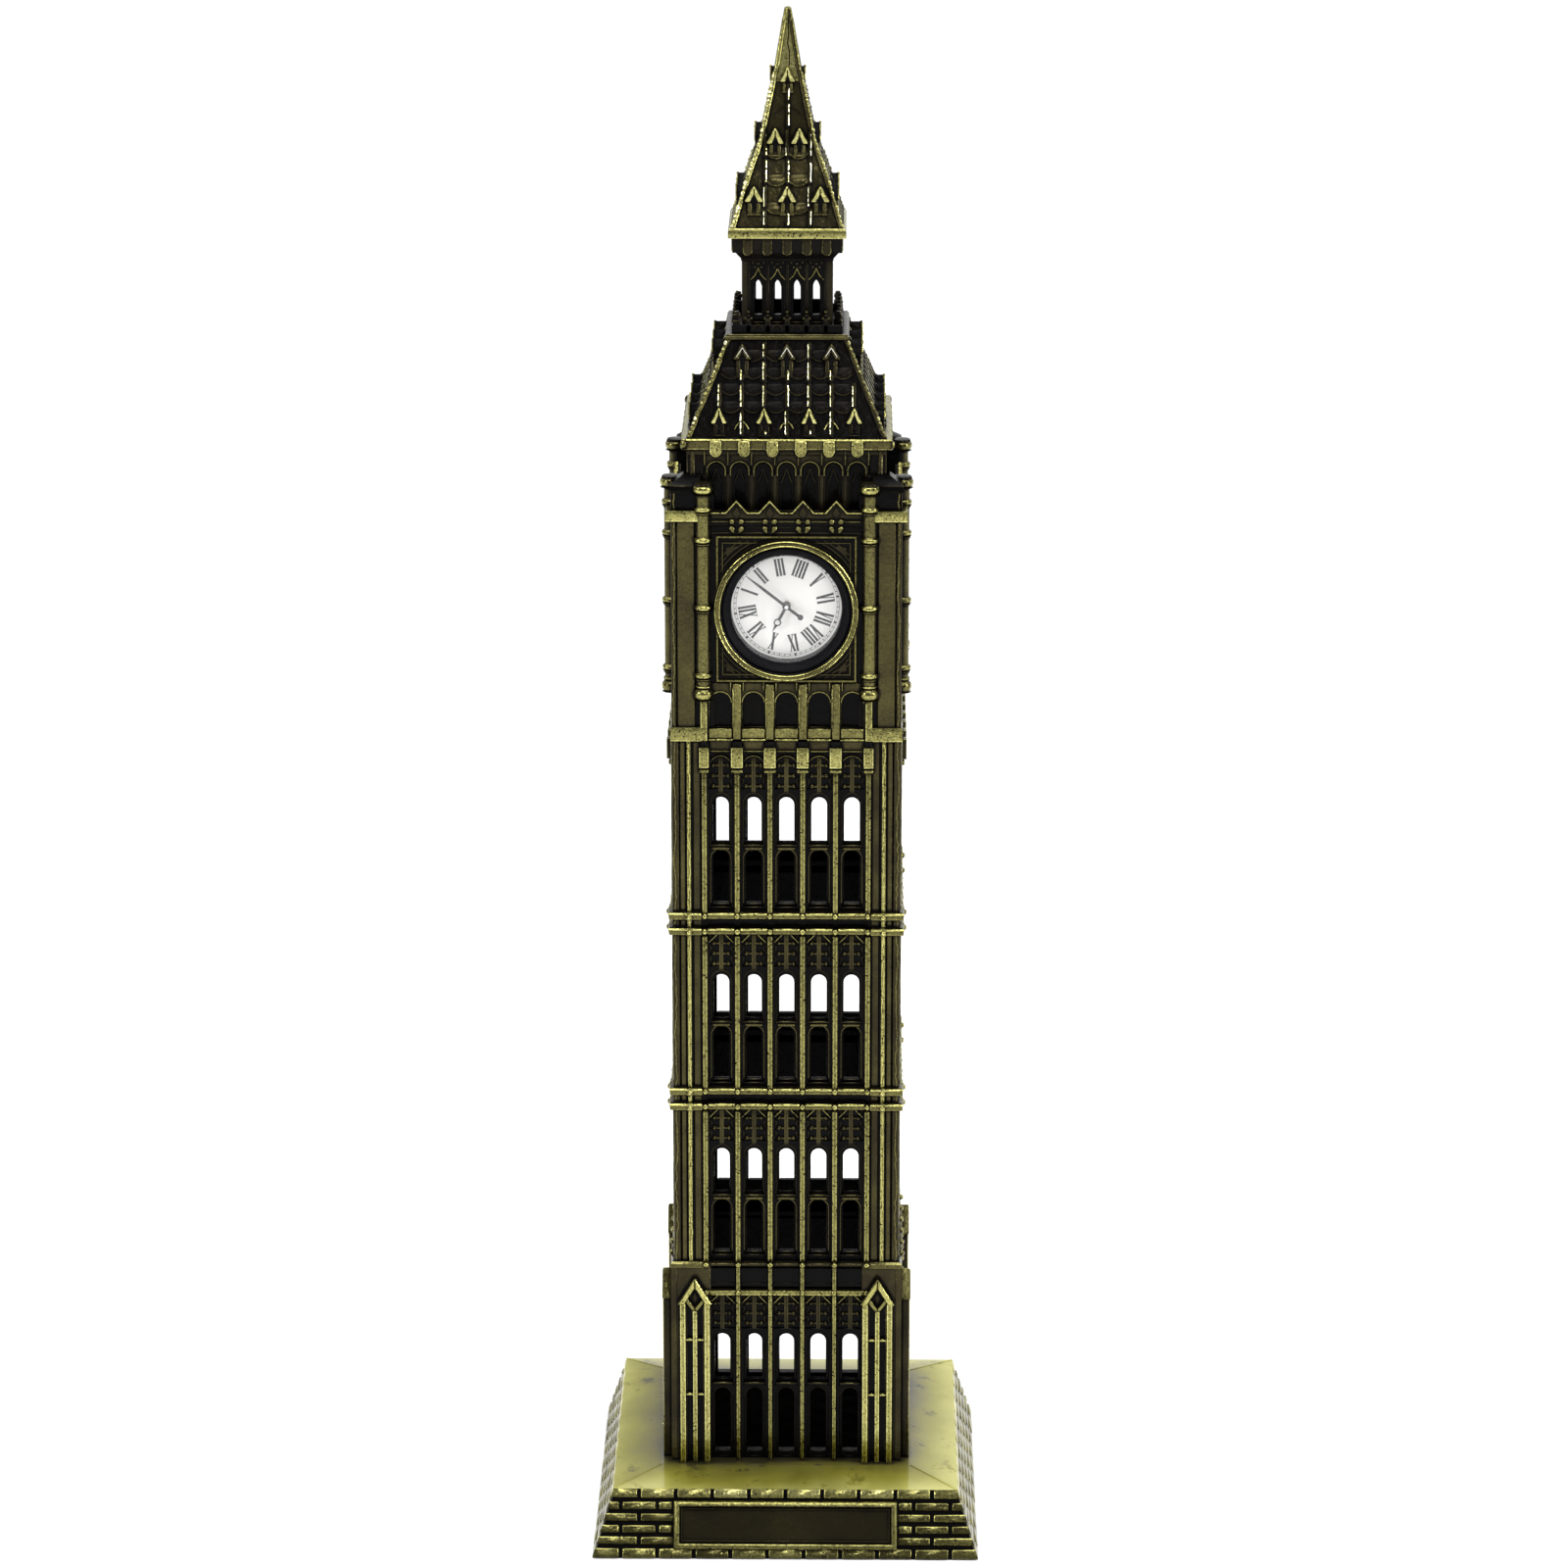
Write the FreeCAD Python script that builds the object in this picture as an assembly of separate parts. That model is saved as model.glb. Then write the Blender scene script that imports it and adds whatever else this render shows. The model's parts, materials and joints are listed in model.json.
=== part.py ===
import FreeCAD, Part
import math
import os

from FreeCAD import Vector

# Miniature clock tower, a cast souvenir with a working clock insert in its front face.
# Millimetres. +Z is up, the front faces -Y, and the origin is the centre of the underside.
# Every wall is drawn as the front one, with "out" meaning the distance in front of the
# tower's axis, and is then turned about Z.

# ---- driving dimensions: plinth -------------------------------------------------------
BASE_HALF = 31.7        # half width at the floor
CROWN_HALF = 28.25      # half width at the top of the brick courses
CROWN_Z = 10.9
DECK_HALF = 21.0        # half width of the flat deck under the tower
DECK_Z = 12.0
PLINTH_WALL = 2.2
COURSES = 6
BRICK_PITCH = 6.0
JOINT = 0.5
JOINT_DEPTH = 0.3
PLATE_HALF = 18.2       # nameplate
PLATE_Z = (1.6, 9.0)
PLATE_RIM = 0.8
PLATE_PROUD = 0.35
PAD_THICK = 1.2
PAD_MARGIN = 0.7

# ---- driving dimensions: walls --------------------------------------------------------
INNER = 16.2            # inner face of every wall plate
REACH = 30.0            # well outside every wall
GROUND_OUT = 18.8       # face of the ground stage
GROUND_TOP = 46.6
SHAFT_OUT = 18.2        # face of the shaft and the clock stage
BAY_OUT = 17.4          # recessed face between the mullions
FIELD_HALF = 13.3       # half width of that face on the shaft
GROUND_FIELD = 12.4     # and on the ground stage
GROUND_BAY_OUT = 18.0
BAY = 5.25              # pitch of the window bays
BAYS = 5
WINDOW = 2.5
MULLION = 0.8
MULLION_PROUD = 0.3     # in front of the shaft and of the ground stage
MULLION_OUT = SHAFT_OUT + MULLION_PROUD
CORNER_BAR = 15.6
CORNER_BAR_WIDTH = 0.65
STRING_Z = 45.35        # level that the storeys are counted from
STOREY = 29.85
STOREYS = 3
LOWER_WINDOW = (3.05, 11.8)
UPPER_WINDOW = (13.3, 20.65)
TRACERY = (22.0, 27.0)
TRACERY_WIDTH = 3.1
TRACERY_RISE = 0.6      # height of its pointed head over its width
TRACERY_OUT = 16.9
GROUND_TRACERY_OUT = 17.4
BEAD = 1.2              # thickness of one string course
BEAD_GAP = 1.3
BEAD_OUT = 19.0
GROUND_LOWER = (12.9, 24.2)
GROUND_UPPER = (25.9, 33.8)
GROUND_TRACERY = (34.8, 40.4)
GROUND_STRING = (41.1, 42.2)

# ---- driving dimensions: ground-stage corner panels -----------------------------------
PANEL_X = 14.95
PANEL_HALF = 2.45
PANEL_OUT = 20.3
PANEL_FLOOR = 19.1      # back of the sunk lights
PANEL_BAR = 0.95
PANEL_SHOULDER = 40.0
PANEL_APEX = 44.6
PANEL_CROSSBARS = (24.1, 33.7)

# ---- driving dimensions: clock stage --------------------------------------------------
STAGE_FOOT = 130.2
CORBEL = (131.1, 134.6)
CORBEL_WIDTH = 1.9
CORBEL_OUT = 19.3
LEDGE = (135.3, 137.8)
LEDGE_OUT = 18.9
LEDGE_X = 12.6          # inner end of the ledge's corner blocks
ARCADE = (137.6, 143.5)
ARCADE_WIDTH = 3.4
ARCADE_DEPTH = 1.2
DIAL_Z = 157.0
FRAME_HALF = 11.1
FRAME_BAR = 0.9
FRAME_Z = (145.3, 168.9)
FRAME_OUT = 18.8
RING_R = 11.46
BORE_R = 10.28
RING_OUT = 19.4
RING_ROUND = 0.5
BOSS_R = 12.2
SEAT_OUT = 12.2         # where the insert's sleeve stops
SEAT_LIP = 0.8
SEAT_R = 9.3
PRINTED_OUT = 17.6      # floor of the shallow dial recess on the other walls
PRINTED_THICK = 0.4
COLUMN_X = 13.15
COLUMN_R = 1.12
COLUMN_OUT = 18.38
COLUMN_Z = (142.2, 177.8)
COLUMN_RINGS = (146.3, 157.4, 168.4, 173.4)
RING_TALL = 1.3
COLUMN_RING_R = 1.42
COLUMN_FOOT = (1.5, 1.8)    # radius and height
COLUMN_CAP = (1.65, 1.95)
PARAPET_Z = 172.8
PARAPET_PEAK = 174.7
PARAPET_THICK = 1.0
PARAPET_PEAKS = 4
PANEL_BOSS = (1.2, 170.8)   # radius and level of the sunk rounds under the peaks
PANEL_BOSS_DEPTH = 0.5
BOSS_ROOM = 0.3             # round the clock's boss where it enters the belfry
PIER_X = 14.4
PIER_Z = 176.0
PIER_TIP = 178.5
PIER_CAP = (171.6, 173.4)
PIER_CAP_PROUD = 0.4

# ---- driving dimensions: upper stages -------------------------------------------------
BELFRY_HALF = 15.77
BELFRY_FOOT = 166.0
BELFRY_SHOULDER = 171.5
BELFRY_TOP = 182.5
BELFRY_ARCHES = 7
BELFRY_PITCH = 3.7
BELFRY_ARCH = (173.0, 180.1)
BELFRY_ARCH_WIDTH = 2.3
SKIN = 1.6              # thickness of the upper castings
SPIGOT = 2.0            # depth that each one reaches into the one below
EAVE_HALF = 16.52
EAVE_TOP = 184.2
ROOF_PROFILE = ((15.4, 184.2), (12.5, 191.0), (10.05, 196.8), (9.3, 198.7))
ROOF_DECK_HALF = 9.79
ROOF_DECK_TOP = 199.6
ROOF_RIBS = 7
ROOF_RIB_PITCH = 3.53
# Rows of dormers: how many, their pitch, the levels of foot, eave and peak, and the width.
ROOF_DORMERS = (
    (4, 7.06, (184.6, 187.2, 189.2), 2.2),
    (3, 7.06, (193.3, 196.3, 198.6), 2.0),
)
LANTERN_HALF = 7.18
LANTERN_TOP = 211.3
LANTERN_PARAPET_HALF = 8.81
LANTERN_PARAPET_TOP = 201.4
GUTTER_WALL = 0.7
GUTTER_FLOOR = 0.6
LANCETS = 4
LANCET_PITCH = 3.05
LANCET_WIDTH = 1.1
LANCET_Z = (202.0, 208.2)
CORNICE_HALF = 8.68
CORNICE_TOP = 214.85
SPIRE_EAVE_HALF = 9.3
SPIRE_EAVE_TOP = 216.4
SPIRE_PROFILE = ((8.49, 216.4), (6.0, 224.3), (4.08, 229.6), (2.17, 238.6), (0.35, 250.0))
SPIRE_RIBS = 3
SPIRE_RIB_PITCH = 3.5
SPIRE_DORMERS = (
    (3, 5.2, (218.4, 221.0, 222.7), 1.9),
    (2, 3.8, (227.2, 229.6, 231.4), 1.7),
    (1, 0.0, (236.6, 239.0, 240.5), 1.4),
)
RIB_WIDTH = 0.5
RIB_PROUD = 0.35
HIP_R = 0.45
RIB_ROOT = 0.6          # how deep ribs and dormers are bedded in a roof
DORMER_FOOT = 0.4       # below its opening
DORMER_DEPTH = 0.3
DORMER_RISE = 0.7
DORMER_OPENING = 0.45   # share of its width
SPIRE_SHELF = 0.6

# ---- driving dimensions: clock insert -------------------------------------------------
SLEEVE_R = 10.23        # runs in the bore with 0.05 mm to spare
CASE_R = 8.8
SLEEVE_FRONT = 18.8
SLEEVE_BEVEL = 1.0      # depth
SLEEVE_RIM = 0.4        # flat left round the bevel
CRYSTAL = (16.9, 17.5)
DIAL = (14.57, 14.97)
DIAL_HOLE_R = 0.65
CASE_WALL = 0.5
CASE_REAR = 9.2
BACK_THICK = 0.6
MAIN_PLATE = (12.1, 12.9)
MODULE = 0.15
CANNON_TEETH = 10
MINUTE_TEETH = 30
MINUTE_PINION_TEETH = 8
HOUR_TEETH = 32
SETTING_TEETH = 10
LOW_GEAR = (13.3, 13.7)     # cannon pinion, minute wheel and setting pinion
HIGH_GEAR = (13.95, 14.35)  # minute pinion and hour wheel
ARBOR_R = 0.2
ARBOR_END = 15.5            # front end of the centre post
CANNON_BORE_END = 15.7
RUNNING = 0.03
CANNON_R = 0.33
HOUR_PIPE_R = 0.5
MINUTE_HAND = (16.1, 16.25)
HOUR_HAND = (15.55, 15.7)
MINUTE_LENGTH = 8.1
MINUTE_TAIL = 2.8
MINUTE_AT = 308.0       # degrees clockwise from the top, seen from the front
HOUR_LENGTH = 4.8
HOUR_EYE = 3.06
HOUR_EYE_R = 0.6
HOUR_EYE_HOLE_R = 0.4
HOUR_HUB_R = 0.68
MINUTE_HUB_R = 0.5
MINUTE_WEIGHT_R = 0.46
HAND_HALF = 0.23        # half width of both hands
HAND_TIP_HALF = 0.06
HAND_TAPER = 0.6        # share of the minute hand's length where it begins to narrow
HOUR_TIP_HALF = 0.37
CAP_R = 0.34
CAP_THICK = 0.3
CAP_ROUND = 0.12
HOUR_AT = 208.0
KNOB_R = 1.6
KNOB = (7.2, 8.3)
KNOB_GROOVES = 18
KNOB_GROOVE_R = 0.12
NOTCH = (1.2, 0.5)          # half width and depth of the case back's finger notch
CELL_R = 3.4
CELL_THICK = 2.1
CELL_GAP = 0.2              # between the cell and the main plate
CELL_STEP = 0.4             # height of the cell's smaller end
CELL_RIM = 0.6              # and how far it is set in
CELL_X = -4.5
CLIP_THICK = 0.2
CLIP_HALF = 0.6
CLIP_X = (-2.6, 3.9)        # from the cell's axis
PINION_HUB_R = 0.4
MINUTE_PIN_R = 0.2          # the minute wheel's fixed pin
BOARD_THICK = 0.4
BOARD_ROOM = 0.4            # round the drive unit
BOARD_GAP = 0.2             # inside the case
STEM_ROOM = 0.3
DRIVE_REAR = 9.8
DRIVE_X = (0.2, 4.4)
DRIVE_UP = (-2.2, 2.4)      # from the dial's centre
COIL = (0.8, 4.6)           # radius and length
QUARTZ = (0.6, 3.8)
TUBES_X = 0.9               # left end of both
TUBES_UP = 4.0              # quartz can above the dial's centre, coil below

# ---- driving dimensions: base screws --------------------------------------------------
SCREW_AT = 14.25
SCREW_R = 1.0
SCREW_HEAD_R = 2.1
SCREW_HEAD = 1.4
SCREW_SLOT = 0.6        # width and depth
SCREW_ROUND = 0.6
SCREW_CLEARANCE = 0.15
SCREW_TIP = 15.6
LUG = 3.5
LUG_TOP = 16.5


# ---- helpers --------------------------------------------------------------------------
def block(x, out, z):
    """A box on the front side, from its spans across, outward and up."""
    size = (x[1] - x[0], out[1] - out[0], z[1] - z[0])
    return Part.makeBox(*size, Vector(x[0], -out[1], z[0]))


def square(half, z):
    """A square prism centred on the tower's axis."""
    return Part.makeBox(2 * half, 2 * half, z[1] - z[0], Vector(-half, -half, z[0]))


def face(points):
    return Part.Face(Part.makePolygon(points + points[:1]))


def frontal(points, out):
    """An outline of (x, z) points, extruded between two distances outward."""
    flat = face([Vector(x, -out[1], z) for x, z in points])
    return flat.extrude(Vector(0, out[1] - out[0], 0))


def drum(radius, out, x=0.0, z=DIAL_Z):
    """A cylinder whose axis points at the viewer."""
    return Part.makeCylinder(radius, out[1] - out[0], Vector(x, -out[1], z), Vector(0, 1, 0))


def softened(shape, out, radius):
    """The shape with the round edge of its front face filleted."""
    rims = [edge for edge in shape.Edges if edge.Closed and abs(edge.BoundBox.YMin + out) < 1e-6]
    return shape.makeFillet(radius, rims[:1])


def post(radius, z, x, out):
    """An upright cylinder on the front side."""
    return Part.makeCylinder(radius, z[1] - z[0], Vector(x, -out, z[0]))


def arched(x, width, z, out):
    """A round-headed opening."""
    spring = z[1] - width / 2
    body = block((x - width / 2, x + width / 2), out, (z[0], spring))
    return body.fuse(drum(width / 2, out, x, spring))


def pointed(x, width, z, out, rise=1.0):
    """A pointed opening, whose head rises by rise times its width."""
    half = width / 2
    spring = z[1] - rise * width
    outline = [(x - half, z[0]), (x + half, z[0]), (x + half, spring), (x, z[1]), (x - half, spring)]
    return frontal(outline, out)


def turned(shape, quarter):
    """The front shape turned to another side: 1 right, 2 rear, 3 left."""
    copy = shape.copy()
    copy.rotate(Vector(0, 0, 0), Vector(0, 0, 1), 90 * quarter)
    return copy


def all_round(shapes):
    return [turned(shape, quarter) for quarter in range(4) for shape in shapes]


def frustum(low, high):
    """A square frustum between two (half width, height) pairs."""
    wires = []
    for half, z in (low, high):
        corners = [Vector(sx * half, sy * half, z) for sx, sy in ((-1, -1), (1, -1), (1, 1), (-1, 1))]
        wires.append(Part.makePolygon(corners + corners[:1]))
    return Part.makeLoft(wires, True, True)


def pyramid(profile):
    """A stack of square frustums that follows a profile of (half width, height) pairs."""
    stack = [frustum(low, high) for low, high in zip(profile, profile[1:])]
    return stack[0].multiFuse(stack[1:]) if len(stack) > 1 else stack[0]


def bay_centres():
    return [(k - (BAYS - 1) / 2) * BAY for k in range(BAYS)]


def mullion_centres():
    return [(k - BAYS / 2) * BAY for k in range(BAYS + 1)]


def spaced(count, pitch):
    return [(k - (count - 1) / 2) * pitch for k in range(count)]


def save(name, shape):
    solid = shape.removeSplitter() if shape.ShapeType != "Compound" or len(shape.Solids) == 1 else shape
    solids = solid.Solids
    result = solids[0] if len(solids) == 1 else Part.makeCompound(solids)
    result.exportStep(os.path.join("parts", name + ".step"))
    print(f"{name:16s} solids {len(solids)} faces {len(result.Faces):5d} volume {result.Volume:10.2f}")


# ---- plinth ---------------------------------------------------------------------------
def plinth_half(z):
    """Half width of the sloping brick side at a height."""
    return BASE_HALF + (CROWN_HALF - BASE_HALF) * z / CROWN_Z


def brick_courses():
    """The sloping block of the plinth, stepped in at the joints between its courses."""
    pitch = CROWN_Z / COURSES
    levels = [(0.0, pitch - JOINT / 2)]
    levels += [(k * pitch + JOINT / 2, (k + 1) * pitch - JOINT / 2) for k in range(1, COURSES - 1)]
    levels.append((CROWN_Z - pitch + JOINT / 2, CROWN_Z))
    bricks = [frustum((plinth_half(low), low), (plinth_half(high), high)) for low, high in levels]
    for (_, low), (high, _) in zip(levels, levels[1:]):
        low_half = plinth_half(low) - JOINT_DEPTH
        bricks.append(frustum((low_half, low), (plinth_half(high) - JOINT_DEPTH, high)))
    return bricks


def upright_joints():
    """Grooves between the bricks of each course on the front side."""
    pitch = CROWN_Z / COURSES
    depth = 0.85 * JOINT_DEPTH
    grooves = []
    for course in range(COURSES):
        low, high = course * pitch, (course + 1) * pitch
        offset = 0.0 if course % 2 else BRICK_PITCH / 2
        reach = int(BASE_HALF / BRICK_PITCH) + 1
        beside_plate = high > PLATE_Z[0] and low < PLATE_Z[1]
        for k in range(-reach, reach):
            x = offset + k * BRICK_PITCH
            if abs(x) > plinth_half(high) - 1.5 or (beside_plate and abs(x) < PLATE_HALF + 0.5):
                continue
            section = face([
                Vector(x - JOINT / 2, depth - plinth_half(low), low),
                Vector(x - JOINT / 2, depth - plinth_half(high), high),
                Vector(x - JOINT / 2, -1 - plinth_half(high), high),
                Vector(x - JOINT / 2, -1 - plinth_half(low), low),
            ])
            grooves.append(section.extrude(Vector(JOINT, 0, 0)))
    return grooves


def nameplate():
    """A raised blank plate with a rim, in the slope of the front side."""
    rim = block((-PLATE_HALF, PLATE_HALF), (0, PLATE_PROUD + 1), (0, PLATE_Z[1] - PLATE_Z[0]))
    inner = PLATE_HALF - PLATE_RIM
    field_z = (PLATE_RIM, PLATE_Z[1] - PLATE_Z[0] - PLATE_RIM)
    rim = rim.cut(block((-inner, inner), (1.0, PLATE_PROUD + 2), field_z))
    lean = math.degrees(math.atan2(BASE_HALF - CROWN_HALF, CROWN_Z))
    rim.rotate(Vector(0, 0, 0), Vector(1, 0, 0), -lean)
    rim.translate(Vector(0, 1 - plinth_half(PLATE_Z[0]), PLATE_Z[0]))
    return rim


def plinth():
    bricks = brick_courses()
    body = bricks[0].multiFuse(bricks[1:])
    body = body.cut(Part.makeCompound(all_round(upright_joints())))
    body = body.fuse(frustum((CROWN_HALF, CROWN_Z), (DECK_HALF, DECK_Z))).fuse(nameplate())
    hollow = pyramid((
        (BASE_HALF - PLINTH_WALL, 0),
        (CROWN_HALF - PLINTH_WALL, CROWN_Z - PLINTH_WALL),
        (DECK_HALF - PLINTH_WALL, DECK_Z - PLINTH_WALL),
    ))
    holes = [
        Part.makeCylinder(SCREW_R + SCREW_CLEARANCE, DECK_Z, Vector(sx * SCREW_AT, sy * SCREW_AT, 0))
        for sx in (-1, 1) for sy in (-1, 1)
    ]
    return body.cut(Part.makeCompound([hollow] + holes))


def base_pad():
    return square(BASE_HALF - PLINTH_WALL - PAD_MARGIN, (0, PAD_THICK))


def base_screws():
    screws = []
    under = DECK_Z - PLINTH_WALL
    for sx in (-1, 1):
        for sy in (-1, 1):
            at = Vector(sx * SCREW_AT, sy * SCREW_AT, under - SCREW_HEAD)
            head = Part.makeCylinder(SCREW_HEAD_R, SCREW_HEAD, at)
            head = head.makeFillet(SCREW_ROUND, [head.Edges[2]])
            slot_at = at - Vector(SCREW_HEAD_R, SCREW_SLOT / 2, 0)
            slot = Part.makeBox(2 * SCREW_HEAD_R, SCREW_SLOT, SCREW_SLOT, slot_at)
            shank = Part.makeCylinder(SCREW_R, SCREW_TIP - at.z, at)
            screws.append(head.fuse(shank).cut(slot))
    return Part.makeCompound(screws)


# ---- walls ----------------------------------------------------------------------------
def wedge():
    """The quarter of the plan that belongs to the front wall: its mitres are at 45 degrees."""
    plan = face([Vector(0, 0, 0), Vector(-REACH, -REACH, 0), Vector(REACH, -REACH, 0)])
    return plan.extrude(Vector(0, 0, SPIRE_PROFILE[-1][1]))


def window_openings():
    """Every through window of one wall."""
    through = (INNER - 1, GROUND_OUT + 1)
    openings = []
    for x in bay_centres():
        for z in (GROUND_LOWER, GROUND_UPPER):
            openings.append(arched(x, WINDOW, z, through))
        for storey in range(STOREYS):
            foot = STRING_Z + storey * STOREY
            for low, high in (LOWER_WINDOW, UPPER_WINDOW):
                openings.append(arched(x, WINDOW, (foot + low, foot + high), through))
    return openings


def string_courses():
    """Pairs of projecting beads between the storeys, with the single one of the ground stage."""
    beads = [block((-GROUND_FIELD, GROUND_FIELD), (INNER, GROUND_OUT + MULLION_PROUD), GROUND_STRING)]
    for storey in range(1, STOREYS):
        level = STRING_Z + storey * STOREY
        for side in (-1, 1):
            centre = level + side * BEAD_GAP
            bead = block((-REACH, REACH), (INNER, BEAD_OUT), (centre - BEAD / 2, centre + BEAD / 2))
            beads.append(bead)
    return beads


def mullions():
    bars = []
    top_of_shaft = STAGE_FOOT + 1
    for x in mullion_centres():
        side = (x - MULLION / 2, x + MULLION / 2)
        bars.append(block(side, (INNER, MULLION_OUT), (GROUND_TOP - 1, top_of_shaft)))
        bars.append(block(side, (INNER, GROUND_OUT + MULLION_PROUD), (DECK_Z, GROUND_TOP)))
    for x in (-CORNER_BAR, CORNER_BAR):
        side = (x - CORNER_BAR_WIDTH / 2, x + CORNER_BAR_WIDTH / 2)
        bars.append(block(side, (INNER, MULLION_OUT), (GROUND_TOP - 1, top_of_shaft)))
    return bars


def tracery_recesses():
    """Pointed sunk panels over the upper windows."""
    sunk = []
    for x in bay_centres():
        out = (GROUND_TRACERY_OUT, GROUND_OUT + 1)
        sunk.append(pointed(x, TRACERY_WIDTH, GROUND_TRACERY, out, TRACERY_RISE))
        for storey in range(STOREYS):
            foot = STRING_Z + storey * STOREY
            z = (foot + TRACERY[0], foot + TRACERY[1])
            sunk.append(pointed(x, TRACERY_WIDTH, z, (TRACERY_OUT, MULLION_OUT), TRACERY_RISE))
    return sunk


def corner_panels():
    """Gabled panels on the corners of the ground stage, with two tall lights each."""
    panels = []
    bars = [DECK_Z, *PANEL_CROSSBARS, PANEL_SHOULDER - 1.5]
    for x in (-PANEL_X, PANEL_X):
        outline = [
            (x - PANEL_HALF, DECK_Z), (x + PANEL_HALF, DECK_Z),
            (x + PANEL_HALF, PANEL_SHOULDER), (x, PANEL_APEX), (x - PANEL_HALF, PANEL_SHOULDER),
        ]
        panel = frontal(outline, (INNER, PANEL_OUT))
        light = PANEL_HALF - 1.5 * PANEL_BAR
        for side in (-1, 1):
            near = x + side * PANEL_BAR / 2
            far = x + side * (PANEL_BAR / 2 + light)
            for low, high in zip(bars, bars[1:]):
                z = (low + PANEL_BAR, high)
                panel = panel.cut(block(sorted((near, far)), (PANEL_FLOOR, PANEL_OUT + 1), z))
        panels.append(panel)
    return panels


def column(x):
    """A round shaft with its foot, rings and cap, engaged in the clock stage."""
    foot, top = COLUMN_Z
    parts = [
        post(COLUMN_R, COLUMN_Z, x, COLUMN_OUT),
        post(COLUMN_FOOT[0], (foot, foot + COLUMN_FOOT[1]), x, COLUMN_OUT),
        post(COLUMN_CAP[0], (top - COLUMN_CAP[1], top), x, COLUMN_OUT),
    ]
    for level in COLUMN_RINGS:
        parts.append(post(COLUMN_RING_R, (level - RING_TALL / 2, level + RING_TALL / 2), x, COLUMN_OUT))
    return parts[0].multiFuse(parts[1:])


def clock_stage():
    """Solid pieces of the clock stage, from the corbels up to the parapet."""
    solids = [block((-REACH, REACH), (INNER, SHAFT_OUT), (STAGE_FOOT, PARAPET_Z))]
    for x in mullion_centres():
        half = CORBEL_WIDTH / 2
        solids.append(block((x - half, x + half), (INNER, CORBEL_OUT), CORBEL))
    for side in (-1, 1):
        solids.append(block(sorted((side * LEDGE_X, side * REACH)), (INNER, LEDGE_OUT), LEDGE))
        pier = block(sorted((side * PIER_X, side * REACH)), (INNER, SHAFT_OUT), (STAGE_FOOT, PIER_Z))
        cap = block(sorted((side * (PIER_X - PIER_CAP_PROUD), side * REACH)), (INNER, LEDGE_OUT), PIER_CAP)
        tip_outline = [(-SHAFT_OUT, PIER_Z), (-INNER, PIER_Z), (-INNER, PIER_TIP)]
        tip = face([Vector(side * PIER_X, y, z) for y, z in tip_outline])
        solids += [pier, cap, tip.extrude(Vector(side * REACH, 0, 0)), column(side * COLUMN_X)]
    outer = block((-FRAME_HALF, FRAME_HALF), (INNER, FRAME_OUT), FRAME_Z)
    inner_half = FRAME_HALF - FRAME_BAR
    inner_z = (FRAME_Z[0] + FRAME_BAR, FRAME_Z[1] - FRAME_BAR)
    solids.append(outer.cut(block((-inner_half, inner_half), (INNER - 1, FRAME_OUT + 1), inner_z)))
    solids.append(softened(drum(RING_R, (INNER, RING_OUT)), RING_OUT, RING_ROUND))
    end = PARAPET_PEAKS * BAY / 2
    outline = [(-end, PARAPET_Z - 1)]
    for x in spaced(PARAPET_PEAKS, BAY):
        outline += [(x - BAY / 2, PARAPET_Z), (x, PARAPET_PEAK)]
    outline += [(end, PARAPET_Z), (end, PARAPET_Z - 1)]
    solids.append(frontal(outline, (SHAFT_OUT - PARAPET_THICK, SHAFT_OUT)))
    return solids


def stage_recesses():
    """Sunk arcade below the clock and sunk panels above it."""
    sunk = []
    for x in bay_centres():
        sunk.append(arched(x, ARCADE_WIDTH, ARCADE, (SHAFT_OUT - ARCADE_DEPTH, SHAFT_OUT + 1)))
    for x in spaced(PARAPET_PEAKS, BAY):
        sunk.append(drum(PANEL_BOSS[0], (SHAFT_OUT - PANEL_BOSS_DEPTH, SHAFT_OUT + 1), x, PANEL_BOSS[1]))
    return sunk


def wall(quarter):
    """One of the four wall plates, mitred at both ends."""
    ground = block((-REACH, REACH), (INNER, GROUND_OUT), (DECK_Z, GROUND_TOP))
    shaft = block((-REACH, REACH), (INNER, SHAFT_OUT), (GROUND_TOP - 1, STAGE_FOOT + 1))
    plate = ground.fuse(shaft)
    plate = plate.cut(block((-FIELD_HALF, FIELD_HALF), (BAY_OUT, REACH), (GROUND_TOP, STAGE_FOOT)))
    ground_field = (-GROUND_FIELD, GROUND_FIELD)
    plate = plate.cut(block(ground_field, (GROUND_BAY_OUT, REACH), (DECK_Z, GROUND_STRING[0])))
    plate = plate.cut(Part.makeCompound(window_openings() + tracery_recesses()))
    raised = mullions() + string_courses() + corner_panels() + clock_stage()
    plate = plate.multiFuse(raised)
    plate = plate.cut(Part.makeCompound(stage_recesses()))
    if quarter == 0:
        plate = plate.fuse(drum(BOSS_R, (SEAT_OUT - SEAT_LIP, INNER)))
        plate = plate.cut(drum(BORE_R, (SEAT_OUT, REACH)).fuse(drum(SEAT_R, (0, SEAT_OUT + 1))))
    else:
        plate = plate.cut(drum(BORE_R, (PRINTED_OUT, REACH)))
    plate = plate.common(wedge())
    if quarter % 2:
        for side in (-1, 1):
            x = side * SCREW_AT
            lug = block((x - LUG / 2, x + LUG / 2), (SCREW_AT - LUG / 2, INNER), (DECK_Z, LUG_TOP))
            plate = plate.fuse(lug).cut(post(SCREW_R, (DECK_Z - 1, SCREW_TIP), x, SCREW_AT))
    return turned(plate, quarter)


def printed_dial(quarter):
    return turned(drum(BORE_R, (PRINTED_OUT, PRINTED_OUT + PRINTED_THICK)), quarter)


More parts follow.
